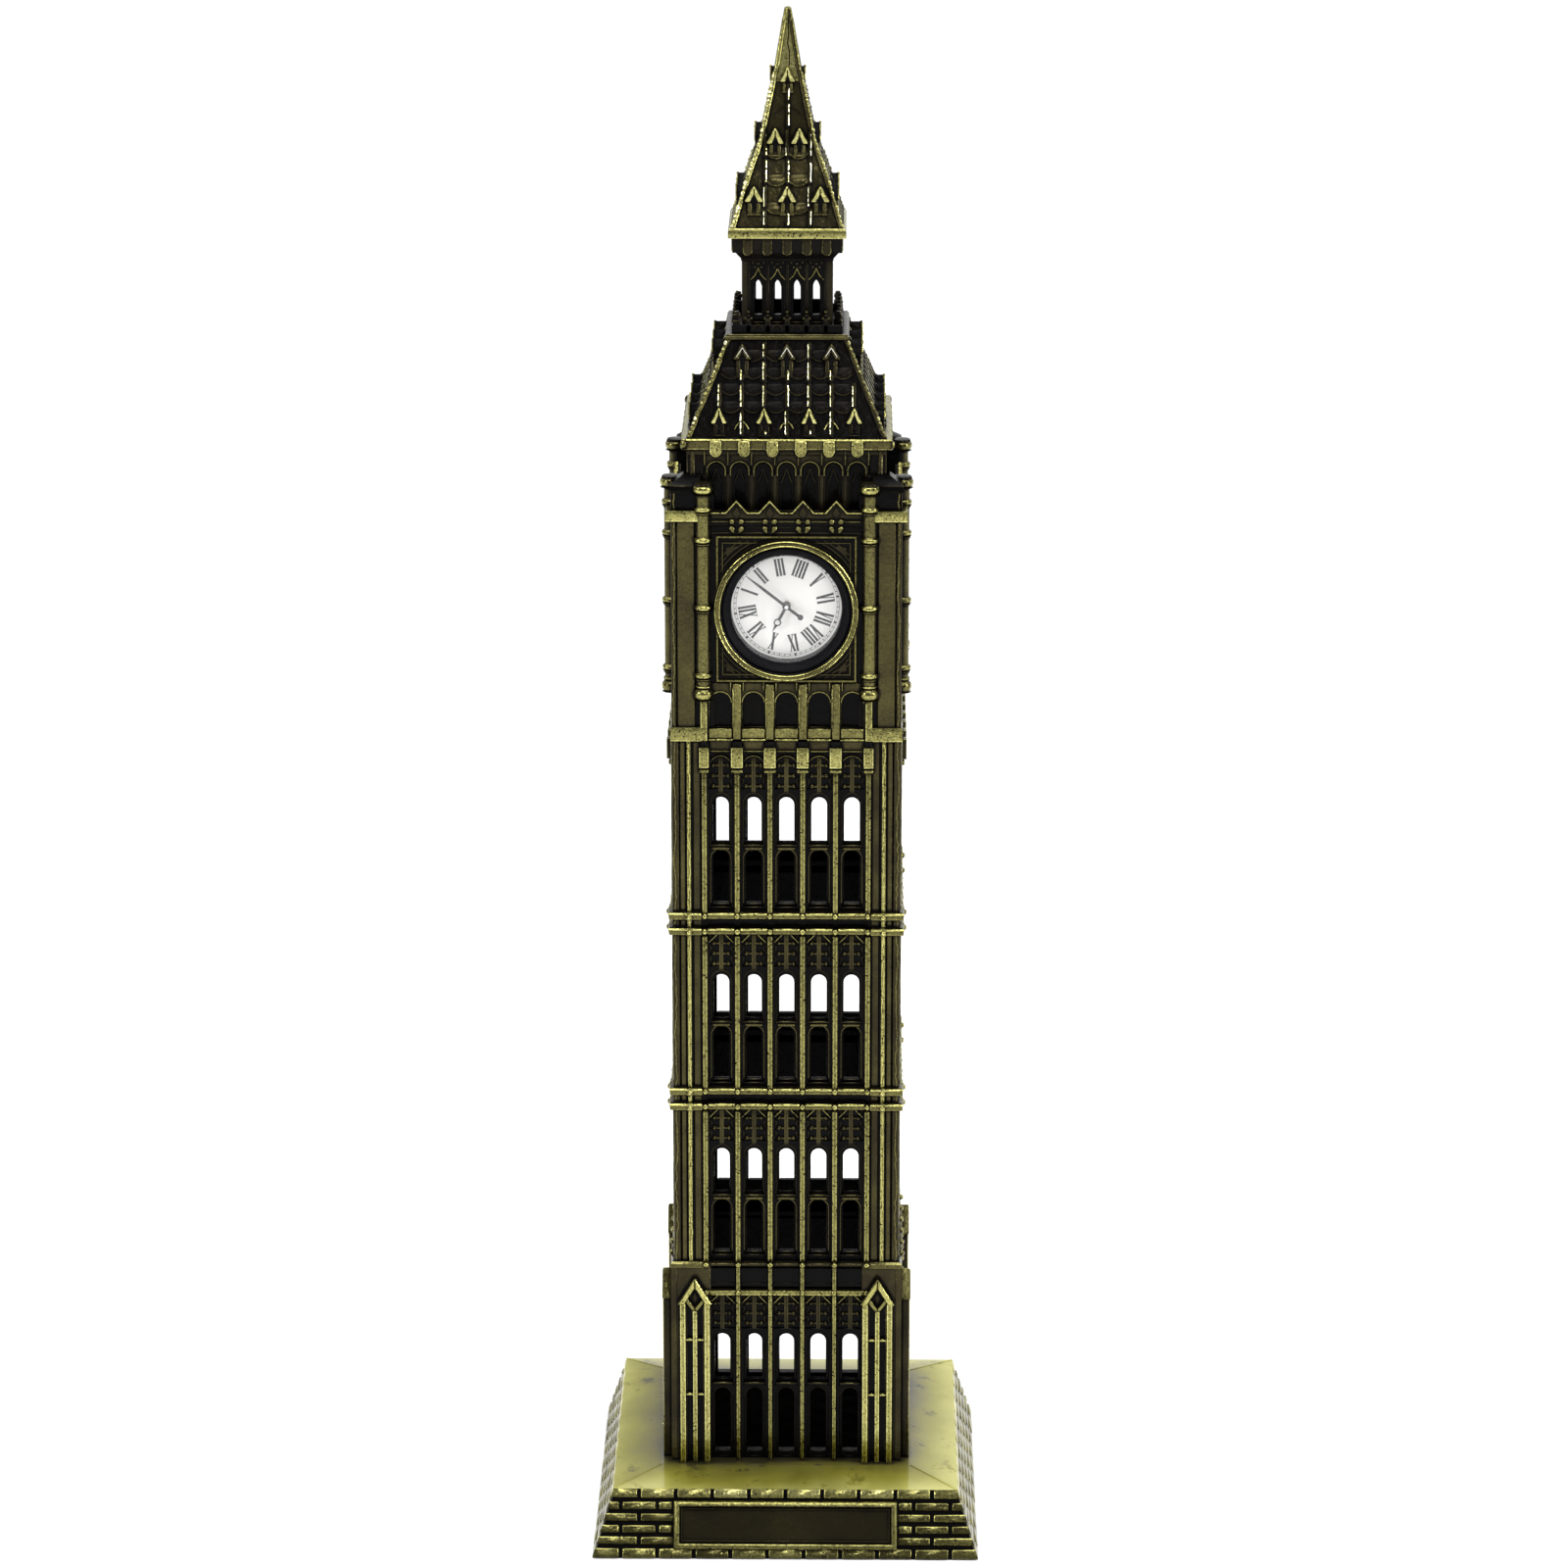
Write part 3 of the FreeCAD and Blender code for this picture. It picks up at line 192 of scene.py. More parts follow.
class Casting:
    """Gathers closed, softened solids and makes one piece of them."""

    def __init__(self, place=flat_front):
        self.points, self.faces, self.tones = [], [], []
        self.place = place

    def add(self, points, faces, tone, soften=0.1, rim=0.2, segments=1):
        part = bmesh.new()
        layer = part.faces.layers.float.new("tone")
        corners = [part.verts.new(p) for p in points]
        for face in faces:
            part.faces.new([corners[i] for i in face])
        bmesh.ops.recalc_face_normals(part, faces=part.faces)
        for face in part.faces:
            # Each face's tone, with painted shade on faces turned to the sides or down.
            face[layer] = polish_and_side_shade(tone, face.normal)
        if soften:
            sharp = [e for e in part.edges if e.calc_face_angle(0.0) > SHARP_FOLD]
            made = bmesh.ops.bevel(part, geom=sharp, offset=soften, segments=segments,
                                   profile=0.6, affect="EDGES", clamp_overlap=True)
            for face in made["faces"]:
                face.normal_update()
                # Rounded edges get brighter: rubbed wear, plus a painted highlight that grows where the
                # edge faces out or up.
                lit = max(0.0, face.normal.y, face.normal.z)
                face[layer] = polish_and_side_shade(tone, face.normal) + rim * (0.35 + 0.65 * lit)
        for vert in part.verts:
            vert.co = self.place(*vert.co)
        bmesh.ops.remove_doubles(part, verts=part.verts, dist=1e-4)
        bmesh.ops.dissolve_degenerate(part, edges=part.edges, dist=1e-4)
        bmesh.ops.recalc_face_normals(part, faces=part.faces)
        part.verts.index_update()
        start = len(self.points)
        self.points += [tuple(v.co) for v in part.verts]
        for face in part.faces:
            self.faces.append([start + v.index for v in face.verts])
            self.tones.append(face[layer])
        part.free()

    def box(self, x, out, z, tone, soften=0.1, rim=0.2, segments=1):
        points = [(a, b, c) for a in x for b in solid(out) for c in z]
        faces = [(0, 1, 3, 2), (4, 6, 7, 5), (0, 4, 5, 1), (2, 3, 7, 6), (0, 2, 6, 4), (1, 5, 7, 3)]
        self.add(points, faces, tone, soften, rim, segments)

    def bar(self, x, half, *rest):
        """A box centred on x."""
        self.box((x - half, x + half), *rest)

    def band(self, *rest):
        """A box from corner to corner."""
        self.bar(0, FAR, *rest)

    def pair(self, near, far, *rest, x=0):
        """The same box on both sides of x."""
        for side in BOTH:
            self.box(sorted((x + side * near, x + side * far)), *rest)

    def loft(self, rings, tone, soften=0, rim=0.2, closed=False):
        """A skin over rings of points, capped at both ends unless the last ring joins the first."""
        count, size = len(rings), len(rings[0])
        faces = [] if closed else [range(size), range((count - 1) * size, count * size)]
        for k in range(count if closed else count - 1):
            a, b = k * size, (k + 1) % count * size
            faces += [(a + j, a + (j + 1) % size, b + (j + 1) % size, b + j) for j in range(size)]
        self.add([point for ring in rings for point in ring], faces, tone, soften, rim)

    def slab(self, outline, out, tone, soften=0.1, rim=0.2):
        """An outline of (x, z) points, extruded between two distances outward."""
        self.loft([[(x, o, z) for x, z in outline] for o in solid(out)], tone, soften, rim)

    def skew(self, outline, x, *rest):
        """An outline of (out, z) points, extruded across between two x."""
        self.loft([[(a, o, z) for o, z in outline] for a in x], *rest)

    def wings(self, x, outline, *rest):
        """The same slab on both sides of x."""
        for side in BOTH:
            self.slab(facing(x, side, outline), *rest)

    def moulding(self, path, out, width, proud, tone, closed=False, sunk=0.3):
        """A rounded strip that follows a path of (x, z) points on a face."""
        half = width / 2
        section = [(-half, -sunk), (-half, proud * 0.45), (-half * 0.5, proud * 0.9),
                   (half * 0.5, proud * 0.9), (half, proud * 0.45), (half, -sunk)]
        rings, n = [], len(path)
        for i, (x, z) in enumerate(path):
            before = path[i - 1] if closed or i else path[i]
            after = path[(i + 1) % n] if closed or i < n - 1 else path[i]
            into = Vector((x - before[0], z - before[1]))
            away = Vector((after[0] - x, after[1] - z))
            into = into.normalized() if into.length else away.normalized()
            away = away.normalized() if away.length else into
            along = (into + away).normalized()
            side = Vector((-along.y, along.x)) / max(0.4, along.dot(away))
            rings.append([(x + side.x * a, out + h, z + side.y * a) for a, h in section])
        self.loft(rings, tone, closed=closed)

    def turned_up(self, x, out, profile, tone, sides=20):
        """A shape turned about an upright axis, from (radius, z) pairs."""
        angles = [math.tau * k / sides for k in range(sides)]
        self.loft([[(x + radius * math.cos(a), out + radius * math.sin(a), z) for a in angles]
                   for radius, z in profile], tone)

    def turned_out(self, x, z, profile, tone, sides=96):
        """A ring turned about an axis towards the viewer, from closed (radius, out) pairs."""
        angles = [math.tau * k / sides for k in range(sides)]
        self.loft([[(x + r * math.sin(a), out, z + r * math.cos(a)) for r, out in profile]
                   for a in angles], tone, closed=True)

    def ball(self, x, out, z, radius, tone, tall=1.0):
        steps = 6
        profile = []
        for k in range(steps + 1):
            angle = math.pi * (k + 0.15) / (steps + 0.3) - math.pi / 2
            profile.append((radius * math.cos(angle), z + radius * tall * math.sin(angle)))
        self.turned_up(x, out, profile, tone, 10)

    def rod(self, start, end, radius, tone, sides):
        """A round bar between two (x, out, z) points."""
        start, end = Vector(start), Vector(end)
        along = (end - start).normalized()
        across = along.cross(Vector((0.3, 0.9, 0.1))).normalized()
        other = along.cross(across)
        angles = [math.tau * k / sides for k in range(sides)]
        ring = [radius * (math.cos(a) * across + math.sin(a) * other) for a in angles]
        self.loft([[centre + spoke for spoke in ring] for centre in (start, end)], tone)

    def take(self, other, quarter):
        """Adds a copy of another casting's solids, turned to a side."""
        start = len(self.points)
        self.points += [turned_corner(*p, quarter) for p in other.points]
        self.faces += [[start + i for i in face] for face in other.faces]
        self.tones += other.tones

    def piece(self, name, *nodes, body="tower", slot="antique_brass", material=None):
        """The visible piece, in place of the CAD nodes named."""
        mesh = bpy.data.meshes.new(name)
        mesh.from_pydata([[v * MM for v in p] for p in self.points], [], self.faces)
        tone = mesh.attributes.new("tone", "FLOAT", "FACE")
        tone.data.foreach_set("value", self.tones)
        mesh.polygons.foreach_set("use_smooth", [True] * len(self.faces))
        mesh.set_sharp_from_angle(angle=math.radians(SMOOTH_FOLD))
        mesh.materials.append(material or finishes[slot])
        mesh.validate()
        made = placed(name, mesh)
        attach(made, body)
        if nodes:
            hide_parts(*nodes)


def on_side(quarter, *castings):
    """Castings drawn for the front, joined and turned to a side."""
    whole = Casting()
    for casting in castings:
        whole.take(casting, quarter)
    return whole


def all_round(side):
    """A casting with the same side four times."""
    whole = Casting()
    for quarter in range(4):
        whole.take(side, quarter)
    return whole


# ---- walls ----
def portal(c, x, pitch, width, cell, opening, out, tone, soften=0.12, rim=0.2, point=False):
    """A plate as wide as its bay, with a round or pointed opening."""
    half, edge = width / 2, pitch / 2
    if point:
        spring = opening[1] - half * 1.9
        head = over(x, [(half, spring), (half * 0.55, spring + half * 1.2), (0, opening[1])])
    else:
        head = arc(x, opening[1] - half, half, 180, 0, 10)
    foot, top = cell
    outline = [(x - edge, foot), (x - half, foot)] + head
    outline += [(x + half, foot), (x + edge, foot), (x + edge, top), (x - edge, top)]
    c.slab(outline, out, tone, soften, rim)
    if opening[0] > foot:
        c.bar(x, half + 0.05, out, (foot, opening[0]), tone, 0.08, rim)


def holed_plate(c):
    """The plate behind the clock, with a round hole for it, as two halves."""
    half, low, high = 12.2, 144.9, PARAPET - 0.3
    for side in BOTH:
        rim = arc(0, DIAL_Z, BORE_R + 0.1, 90, 90 + side * 180, 32)
        edge = -side * half
        c.slab([(0, low), (edge, low), (edge, high), (0, high)] + rim, FIELD + 0.3, SOOT, 0)


def tracery(c, x, z, tone, face=FIELD - 0.35, pointed=True):
    """A spine with three pairs of lobed arms reaching to the mullions, under an arch."""
    c.bar(x, 0.34, (face - 0.3, face + 0.34), (z, z + 6.2), tone - 0.04, 0.16, 0.08, 2)
    for level in (z + 0.9, z + 2.65, z + 4.4):
        c.bar(x, 1.15, (face - 0.3, face + 0.32), (level, level + 0.6), tone, 0.2, 0.12)
        for side in BOTH:
            c.ball(x + side * 1.2, face + 0.14, level + 0.34, 0.38, tone + 0.08)
            hook = arc(x + side * 2.35, level + 1.2, 0.7, 90, 90 + side * 180, 8)
            c.moulding(hook, face + 0.15, 0.24, 0.2, tone)
    if pointed:
        for side in BOTH:
            path = facing(x, side, [(2.15, z + 4.7), (0.7, z + 6.2)])
            c.moulding(path, face + 0.3, 0.26, 0.25, WORN - 0.04)
    else:
        c.moulding(arc(x, z + 4.6, 1.75, 0, 180, 12), face + 0.3, 0.24, 0.22, OLIVE)


def mullion(c, x, z, wide=0.8, out=SHAFT + 0.28):
    c.bar(x, wide * 0.8, (FIELD - 0.6, out - 0.55), z, SOOT, 0.15, 0.1)
    c.bar(x, wide / 2, (FIELD - 0.6, out), z, OLIVE + 0.14, wide * 0.28, 0.2, 2)


def storey(c, foot, pointed, wide):
    """Five bays of a lower and an upper window, with the tracery above."""
    def up(low, high):
        return (foot + low, foot + high)

    pane, jamb = FIELD - 0.6, (FIELD - 0.8, FIELD - 0.05)
    for x in BAYS:
        portal(c, x, BAY, wide, up(-0.2, 12.4), up(3.05, 11.8), pane, BLACK)
        portal(c, x, BAY, wide, up(12.3, 22.3), up(13.3, 20.65), pane, BLACK)
        portal(c, x, BAY, 3.2, up(-0.2, 12.5), up(2.5, 12.2), jamb, SOOT - 0.04, 0.14, 0.12)
        portal(c, x, BAY, 3.2, up(12.3, 22.3), up(12.75, 21.5), jamb, BLACK, 0.14, 0.12)
        c.moulding(stilted(x, foot + 3.2, foot + 10.6, 1.66), FIELD - 0.05, 0.2, 0.14, OLIVE)
        c.moulding(stilted(x, foot + 13.0, foot + 19.9, 1.66), FIELD - 0.05, 0.2, 0.14, BROWN)
        c.bar(x, 1.5, (FIELD - 0.5, FIELD + 0.12), up(11.95, 12.55), OLIVE, 0.16, 0.1)
        c.bar(x, 1.75, (FIELD - 0.8, FIELD + 0.25), up(12.7, 12.95), BROWN, 0.06, 0.3)
        c.bar(x, 1.85, (FIELD - 0.8, FIELD + 0.1), up(2.2, 2.5), SOOT, 0.08, 0.3)
        c.bar(x, 1.5, (FIELD - 0.8, FIELD - 0.1), up(2.75, 3.0), SOOT, 0.08, 0.3)
        c.bar(x, BAY / 2, FIELD - 0.35, up(22.2, 28.2), BLACK, 0)
        tracery(c, x, foot + 21.4, BROWN + 0.09, pointed=pointed)


def string_course(c, z):
    """A bead in short lengths between knobs, heavier at the corners."""
    for x in BAYS:
        c.bar(x, BAY / 2 - 0.35, SHAFT + 0.5, (z - 0.55, z + 0.55), OLIVE + 0.06, 0.22, 0.1, 2)
        c.bar(x, BAY / 2 - 0.4, SHAFT + 0.62, (z - 0.02, z + 0.46), BRIGHT - 0.05, 0.14)
    for x in BAY_EDGES:
        c.ball(x, SHAFT + 0.25, z - 0.15, 0.56, BRIGHT)
    c.pair(13.55, FAR, SHAFT + 0.7, (z - 0.66, z + 0.6), OLIVE + 0.08, 0.24, 0.1, 2)
    c.pair(13.55, FAR, SHAFT + 0.8, (z - 0.02, z + 0.5), BRIGHT - 0.05, 0.16)
    for x in (-CORNER_BAR, CORNER_BAR):
        c.bar(x, 0.5, SHAFT + 0.85, (z - 0.72, z + 0.66), BRIGHT, 0.3, 0.1, 2)
        c.ball(x, SHAFT + 0.72, z - 0.2, 0.5, BRIGHT + 0.1)


def corner_strips(c, z):
    """Fluted corners of the shaft: flat strips with a round bar between them."""
    c.pair(13.2, FAR, SHAFT - 0.55, z, SOOT, 0)
    c.pair(13.7, 14.95, SHAFT - 0.2, z, BROWN + 0.06, 0.14, 0.1)
    c.pair(CORNER_BAR - 0.33, CORNER_BAR + 0.33, SHAFT + 0.25, z, OLIVE + 0.16, 0.22, 0.25, 2)
    c.pair(16.1, 17.05, SHAFT - 0.12, z, BROWN + 0.1, 0.16, 0.1)
    c.pair(17.2, FAR, SHAFT, z, BROWN + 0.04, 0.1, 0.1)


def seams(c, z, x, out, tone, seed):
    """Ragged beads of solder down both corners of a wall."""
    rng = random.Random(seed)
    low, high = z
    steps = int((high - low) / 0.75)
    for side in BOTH:
        path = []
        for k in range(steps + 1):
            wander = 0.26 * rng.random() + 0.1 * math.sin(k * 0.37 + seed)
            path.append((side * (x + wander), low + (high - low) * k / steps))
        c.moulding(path, out, 0.2, 0.07, tone, sunk=0.15)


def ground_stage(c, wide):
    """The wider foot of the tower, with its gabled corner panels."""
    pane, jamb = FIELD - 0.2, (FIELD - 0.4, FIELD + 0.35)
    for x in BAYS:
        portal(c, x, BAY, wide, (DECK, 24.9), (12.9, 24.2), pane, BLACK)
        portal(c, x, BAY, wide, (24.8, 35.0), (25.9, 33.8), pane, BLACK)
        portal(c, x, BAY, 3.3, (DECK, 25.0), (12.4, 24.7), jamb, BLACK, 0.14, 0.15)
        portal(c, x, BAY, 3.3, (24.8, 35.0), (25.5, 34.2), jamb, BLACK, 0.14, 0.1)
        c.bar(x, 1.7, FIELD + 0.3, (DECK, 13.3), BLACK)
        c.moulding(arc(x, 23.0, 1.72, 180, 0, 12), FIELD + 0.35, 0.2, 0.14, SOOT + 0.08)
        c.bar(x, 1.7, (FIELD - 0.4, FIELD + 0.65), (25.2, 25.5), BROWN, 0.06, 0.3)
        c.bar(x, BAY / 2, FIELD, (34.9, GROUND_TOP), BLACK, 0)
        tracery(c, x, 34.6, BROWN + 0.04, FIELD)
        c.bar(x, 2.3, GROUND - 0.35, (42.4, 45.9), BLACK, 0.2, 0.1)
        c.bar(x, 2.2, (GROUND - 0.6, GROUND - 0.2), (43.1, 43.25), SOOT, 0.04)
        c.bar(x, 2.3, GROUND + 0.1, (46.2, 46.75), BROWN, 0.14)
        c.bar(x, 2.35, GROUND + 0.25, (41.2, 42.1), WORN, 0.2, 0.25, 2)
    for x in BAY_EDGES[1:-1]:
        mullion(c, x, (DECK, 46.2), 0.6, GROUND + 0.25)
    for x in BAY_EDGES:
        c.ball(x, GROUND + 0.1, 41.6, 0.55, BRIGHT)
        c.ball(x, GROUND + 0.05, 46.5, 0.6, BRIGHT, 0.8)
    c.pair(12.35, FAR, GROUND, (DECK, GROUND_TOP), BROWN + 0.04, 0.12, 0.1)
    c.pair(17.9, FAR, GROUND + 0.08, (DECK, GROUND_TOP - 0.1), BROWN + 0.04, 0.08, 0.15)
    c.pair(12.35, FAR, GROUND + 0.1, (45.6, GROUND_TOP + 0.3), OLIVE, 0.3, 0.3)
    for x in (-14.95, 14.95):
        corner_panel(c, x)


def corner_panel(c, x):
    """Two tall lights under a gable with a diamond, all in raised bars."""
    half, proud, bar = 2.45, 20.3, 0.92
    light = half - bar
    c.slab(over(x, [(half, DECK), (half, 40.3), (0, 44.2)]), GROUND + 0.35, BLACK, 0.08, 0.05)
    c.pair(light, half, (GROUND, proud), (DECK, 40.4), WORN + 0.12, 0.2, 0.3, 2, x=x)
    c.pair(light - 0.3, light, (GROUND, proud - 0.6), (DECK, 39.6), OLIVE, 0.08, x=x)
    gable = [(half + 0.35, 40.0), (half - 0.75, 40.0), (0, 42.9), (0, 44.6)]
    c.wings(x, gable, (GROUND, proud + 0.1), BRIGHT - 0.05, 0.16)
    brace = [(0, 38.3), (0, 39.3), (light, 41.3), (light, 40.2)]
    c.wings(x, brace, (GROUND, proud - 0.3), WORN)
    for z in (24.1, 33.7):
        c.pair(0.3, light, (GROUND, proud - 0.35), (z - 0.22, z + 0.22), BRIGHT, 0.1, 0.1, x=x)
    c.bar(x, 0.36, (GROUND, proud - 0.1), (DECK, 38.9), WORN + 0.1, 0.16, 0.3, 2)
    c.slab(diamond(x, 0.5, 39.9, 40.9, 42.0), (GROUND, GROUND + 0.6), BROWN, 0.1, 0.3)


def clock_stage(c):
    """From the corbels under the ledge up to the parapet."""
    c.bar(0, 13.4, FIELD, (133.6, STAGE_SILL), OLIVE - 0.1, 0.05)
    for x in BAY_EDGES:
        half = 0.95 if x in BAY_EDGES[1:-1] else 0.78
        c.bar(x, half, 19.25, (131.2, 134.6), WORN + 0.08, 0.16, 0.3, 2)
        c.bar(x, half, 18.95, (130.25, 130.85), WORN, 0.14, 0.3)
        c.bar(x, half * 0.8, 18.7, (130.7, 135.4), BLACK, 0.1, 0.1)
    for x in BAYS:
        c.bar(x, 1.82, SHAFT + 0.12, (135.95, 137.5), WORN - 0.04, 0.08, 0.25)
        c.bar(x, 1.95, SHAFT + 0.35, (135.5, 135.85), BRIGHT - 0.2)
        c.moulding([(x - 1.9, 133.6), (x + 1.9, 133.6)], FIELD, 0.3, 0.3, WORN - 0.1)
        portal(c, x, BAY, 3.4, (STAGE_SILL, 145.0), (STAGE_SILL, ARCADE_TOP),
               (FIELD - 0.6, SHAFT - 0.15), OLIVE - 0.12, 0.12, 0.25)
        c.moulding(arc(x, ARCADE_TOP - 1.7, 1.78, 180, 0, 14), SHAFT - 0.15, 0.28, 0.2, WORN)
        c.bar(x, BAY / 2, FIELD - 0.55, (137, 145), BLACK, 0)
        c.pair(1.48, 1.76, SHAFT + 0.12, (143.6, 145.2), WORN - 0.1, x=x)
    for x in BAY_EDGES[1:-1]:
        c.bar(x, 0.72, SHAFT + 0.12, (135.6, 144.9), OLIVE + 0.1, 0.16, 0.25)
        c.box((x - 0.72, x - 0.45), SHAFT + 0.22, (STAGE_SILL, 144.2), WORN, 0.08)
    holed_plate(c)
    c.pair(11.5, FAR, SHAFT - 0.6, (STAGE_SILL, 175.5), SOOT, 0)
    c.pair(14.45, 17.35, SHAFT - 0.05, (STAGE_SILL, 171.7), BROWN + 0.1, 0.16, 0.12)
    c.pair(17.5, FAR, SHAFT, (STAGE_SILL, 171.7), BROWN + 0.05, 0.1, 0.15)
    c.pair(12.6, FAR, SHAFT + 0.3, (135.4, 137.75), WORN + 0.05, 0.2, 0.3, 2)
    c.pair(12.6, 13.7, SHAFT + 0.28, (137.5, 142.6), WORN, 0.2, 0.25, 2)
    c.pair(13.7, FAR, SHAFT + 0.9, (171.5, 173.3), WORN + 0.15, 0.24, 0.25, 2)
    c.pair(13.9, FAR, SHAFT - 0.3, (173.3, 176.4), BLACK, 0.12, 0.1)
    cap = [(INNER, 176.2), (SHAFT + 0.3, 176.2), (SHAFT + 0.2, 177.2), (INNER, 178.6)]
    for side in BOTH:
        c.skew(cap, (side * 13.6, side * FAR), BLACK, 0.15, 0.25)
        column(c, side * COLUMN_X)
    clock_surround(c)
    parapet(c)


# The outline of a ring moulding: its swell, up to 1, at levels from -1 to 1.
ROLL = ((0.98, -1.0), (0.72, -0.86), (0.9, -0.62), (1.0, -0.3), (1.0, 0.3), (0.9, 0.62), (0.72, 0.86),
        (0.66, 1.0))


def column(c, x):
    """A round column with a foot, four ring mouldings and a cap."""
    low, high = 142.2, 177.8
    c.turned_up(x, COLUMN_OUT, [(1.08, low + 1), (1.08, high - 1)], OLIVE + 0.1, 24)

    def roll(z, radius, tall, tone):
        neck = 1.02
        profile = [(neck + (radius - neck) * max(0.0, (swell - 0.6) / 0.4), z + level * tall / 2)
                   for swell, level in ROLL]
        c.turned_up(x, COLUMN_OUT, profile, tone, 24)

    for z in (146.3, 157.4, 168.4, 173.4):
        roll(z + 0.1, 1.45, 1.0, BRIGHT)
        roll(z - 0.55, 1.28, 0.4, WORN)
    roll(low + 1.1, 1.55, 1.9, BRIGHT - 0.1)
    roll(low + 2.4, 1.3, 0.5, BRIGHT)
    roll(high - 1.1, 1.68, 1.7, BRIGHT)
    c.turned_up(x, COLUMN_OUT, [(1.5, high - 0.45), (1.35, high - 0.1), (0.8, high)], BROWN, 24)
    c.bar(x, 1.2, (INNER - 0.4, COLUMN_OUT), (173.6, high - 0.3), BLACK, 0.15, 0.1)


def clock_surround(c):
    """Square double frame, carved corners and the round bezel of one clock face."""
    face = FIELD + 0.3
    c.moulding(rectangle(10.95, 145.35, 168.85), face, 0.5, 0.55, OLIVE + 0.1, closed=True)
    c.moulding(rectangle(10.1, 146.35, 167.85), face, 0.32, 0.3, OLIVE - 0.08, closed=True)
    for side in BOTH:
        for way in BOTH:
            turn = math.degrees(math.atan2(way, side))
            for radius, reach in ((12.15, 22), (12.75, 17), (13.35, 12)):
                path = arc(0, DIAL_Z, radius, turn - reach, turn + reach, 10)
                c.moulding(path, face, 0.2, 0.2, BROWN + 0.1)
            far, near = DIAL_Z + way * 10.2, DIAL_Z + way * 8.2
            tip = [(side * 9.6, far), (side * 9.6, near), (side * 7.6, far)]
            c.slab(tip, (FIELD, FIELD + 0.5), BROWN, 0.12)
    rim = [(10.55, INNER), (10.55, 19.1), (10.8, 19.24), (11.1, 19.22), (11.35, 19.0), (RING_R, 18.6)]
    c.turned_out(0, DIAL_Z, rim + [(RING_R, INNER)], OLIVE + 0.12)
    for radius, proud in ((10.62, RING_OUT), (11.28, RING_OUT - 0.12)):
        bead = [(-0.13, 18.9), (-0.1, proud - 0.08), (0, proud), (0.1, proud - 0.08), (0.13, 18.9)]
        c.turned_out(0, DIAL_Z, [(radius + aside, out) for aside, out in bead], BRIGHT + 0.05)
    bore = [(BORE_R, INNER), (BORE_R, 19.0), (10.42, 19.12), (10.55, 19.0), (10.55, INNER)]
    c.turned_out(0, DIAL_Z, bore, BLACK)
    skirt = [(RING_R - 0.1, INNER), (RING_R - 0.1, 18.2), (11.75, 18.1), (11.75, INNER)]
    c.turned_out(0, DIAL_Z, skirt, BROWN)


def parapet(c):
    """Zig-zag coping over rails and four-lobed bosses."""
    peaks = spaced(4, BAY)
    path = [(-12.0, PARAPET)]
    for x in peaks:
        path += over(x, [(1.7, PARAPET), (0, PEAK)])
    path.append((12.0, PARAPET))
    c.slab(path + [(12.0, 171.9), (-12.0, 171.9)], (17.3, SHAFT - 0.05), BROWN, 0.06, 0.1)
    c.moulding(path, SHAFT - 0.05, 0.38, 0.35, BRIGHT - 0.1)
    for z, tone in ((172.0, BROWN), (171.3, OLIVE), (170.3, SOOT), (169.45, BROWN)):
        c.bar(0, 12.1, FIELD + 0.5, (z - 0.16, z + 0.16), tone, 0.08, 0.15)
    lobe = [(0.3, 170.55), (1.15, 170.55), (1.05, 170.0), (0.75, 169.6), (0.3, 169.4)]
    for x in peaks:
        c.bar(x, 1.3, (FIELD, FIELD + 0.42), (169.1, 172.2), BLACK, 0.2, 0.05)
        c.slab(diamond(x, 0.7, 171.8, 172.7, 173.9), (FIELD, SHAFT + 0.1), BROWN, 0.1, 0.15)
        c.pair(0.3, 1.15, (FIELD, SHAFT + 0.2), (170.95, 171.75), WORN - 0.1, 0.16, 0.3, x=x)
        c.wings(x, lobe, (FIELD, SHAFT + 0.2), WORN - 0.1, 0.14, 0.3)


def wall_side(wide):
    """One wall with windows of a width, but no seams, screw lugs or seat for the clock."""
    c = Casting()
    ground_stage(c, wide)
    corner_strips(c, (GROUND_TOP, 135.6))
    for k in range(STOREYS):
        foot, last = STRING + k * STOREY, k == STOREYS - 1
        storey(c, foot, not last, wide)
        for x in BAY_EDGES:
            mullion(c, x, (foot + (1.5 if k else 0.8), 130.8 if last else foot + STOREY - 2.2))
        if k:
            c.band(FIELD - 0.1, (foot - 2.2, foot + 2.3), BLACK, 0)
            string_course(c, foot - 1.3)
            string_course(c, foot + 1.3)
    clock_stage(c)
    return c


# ---- upper castings ----
def shield(c, x, out, z, wide, tone):
    """A corbel with a rounded foot and a bright border."""
    half, (low, high) = wide / 2, z
    for inset, drop, solid, shade, soften, rim in (
            (0, 0, (-0.6, 0.22), tone, 0.1, 0.4), (0.28, 0.3, (-0.5, 0.3), tone - 0.1, 0.06, 0.1)):
        side = half - inset
        outline = arc(x, low + half, side, 180, 360, 8)
        outline += [(x + side, high - drop), (x - side, high - drop)]
        c.slab(outline, [out + face for face in solid], shade, soften, rim)


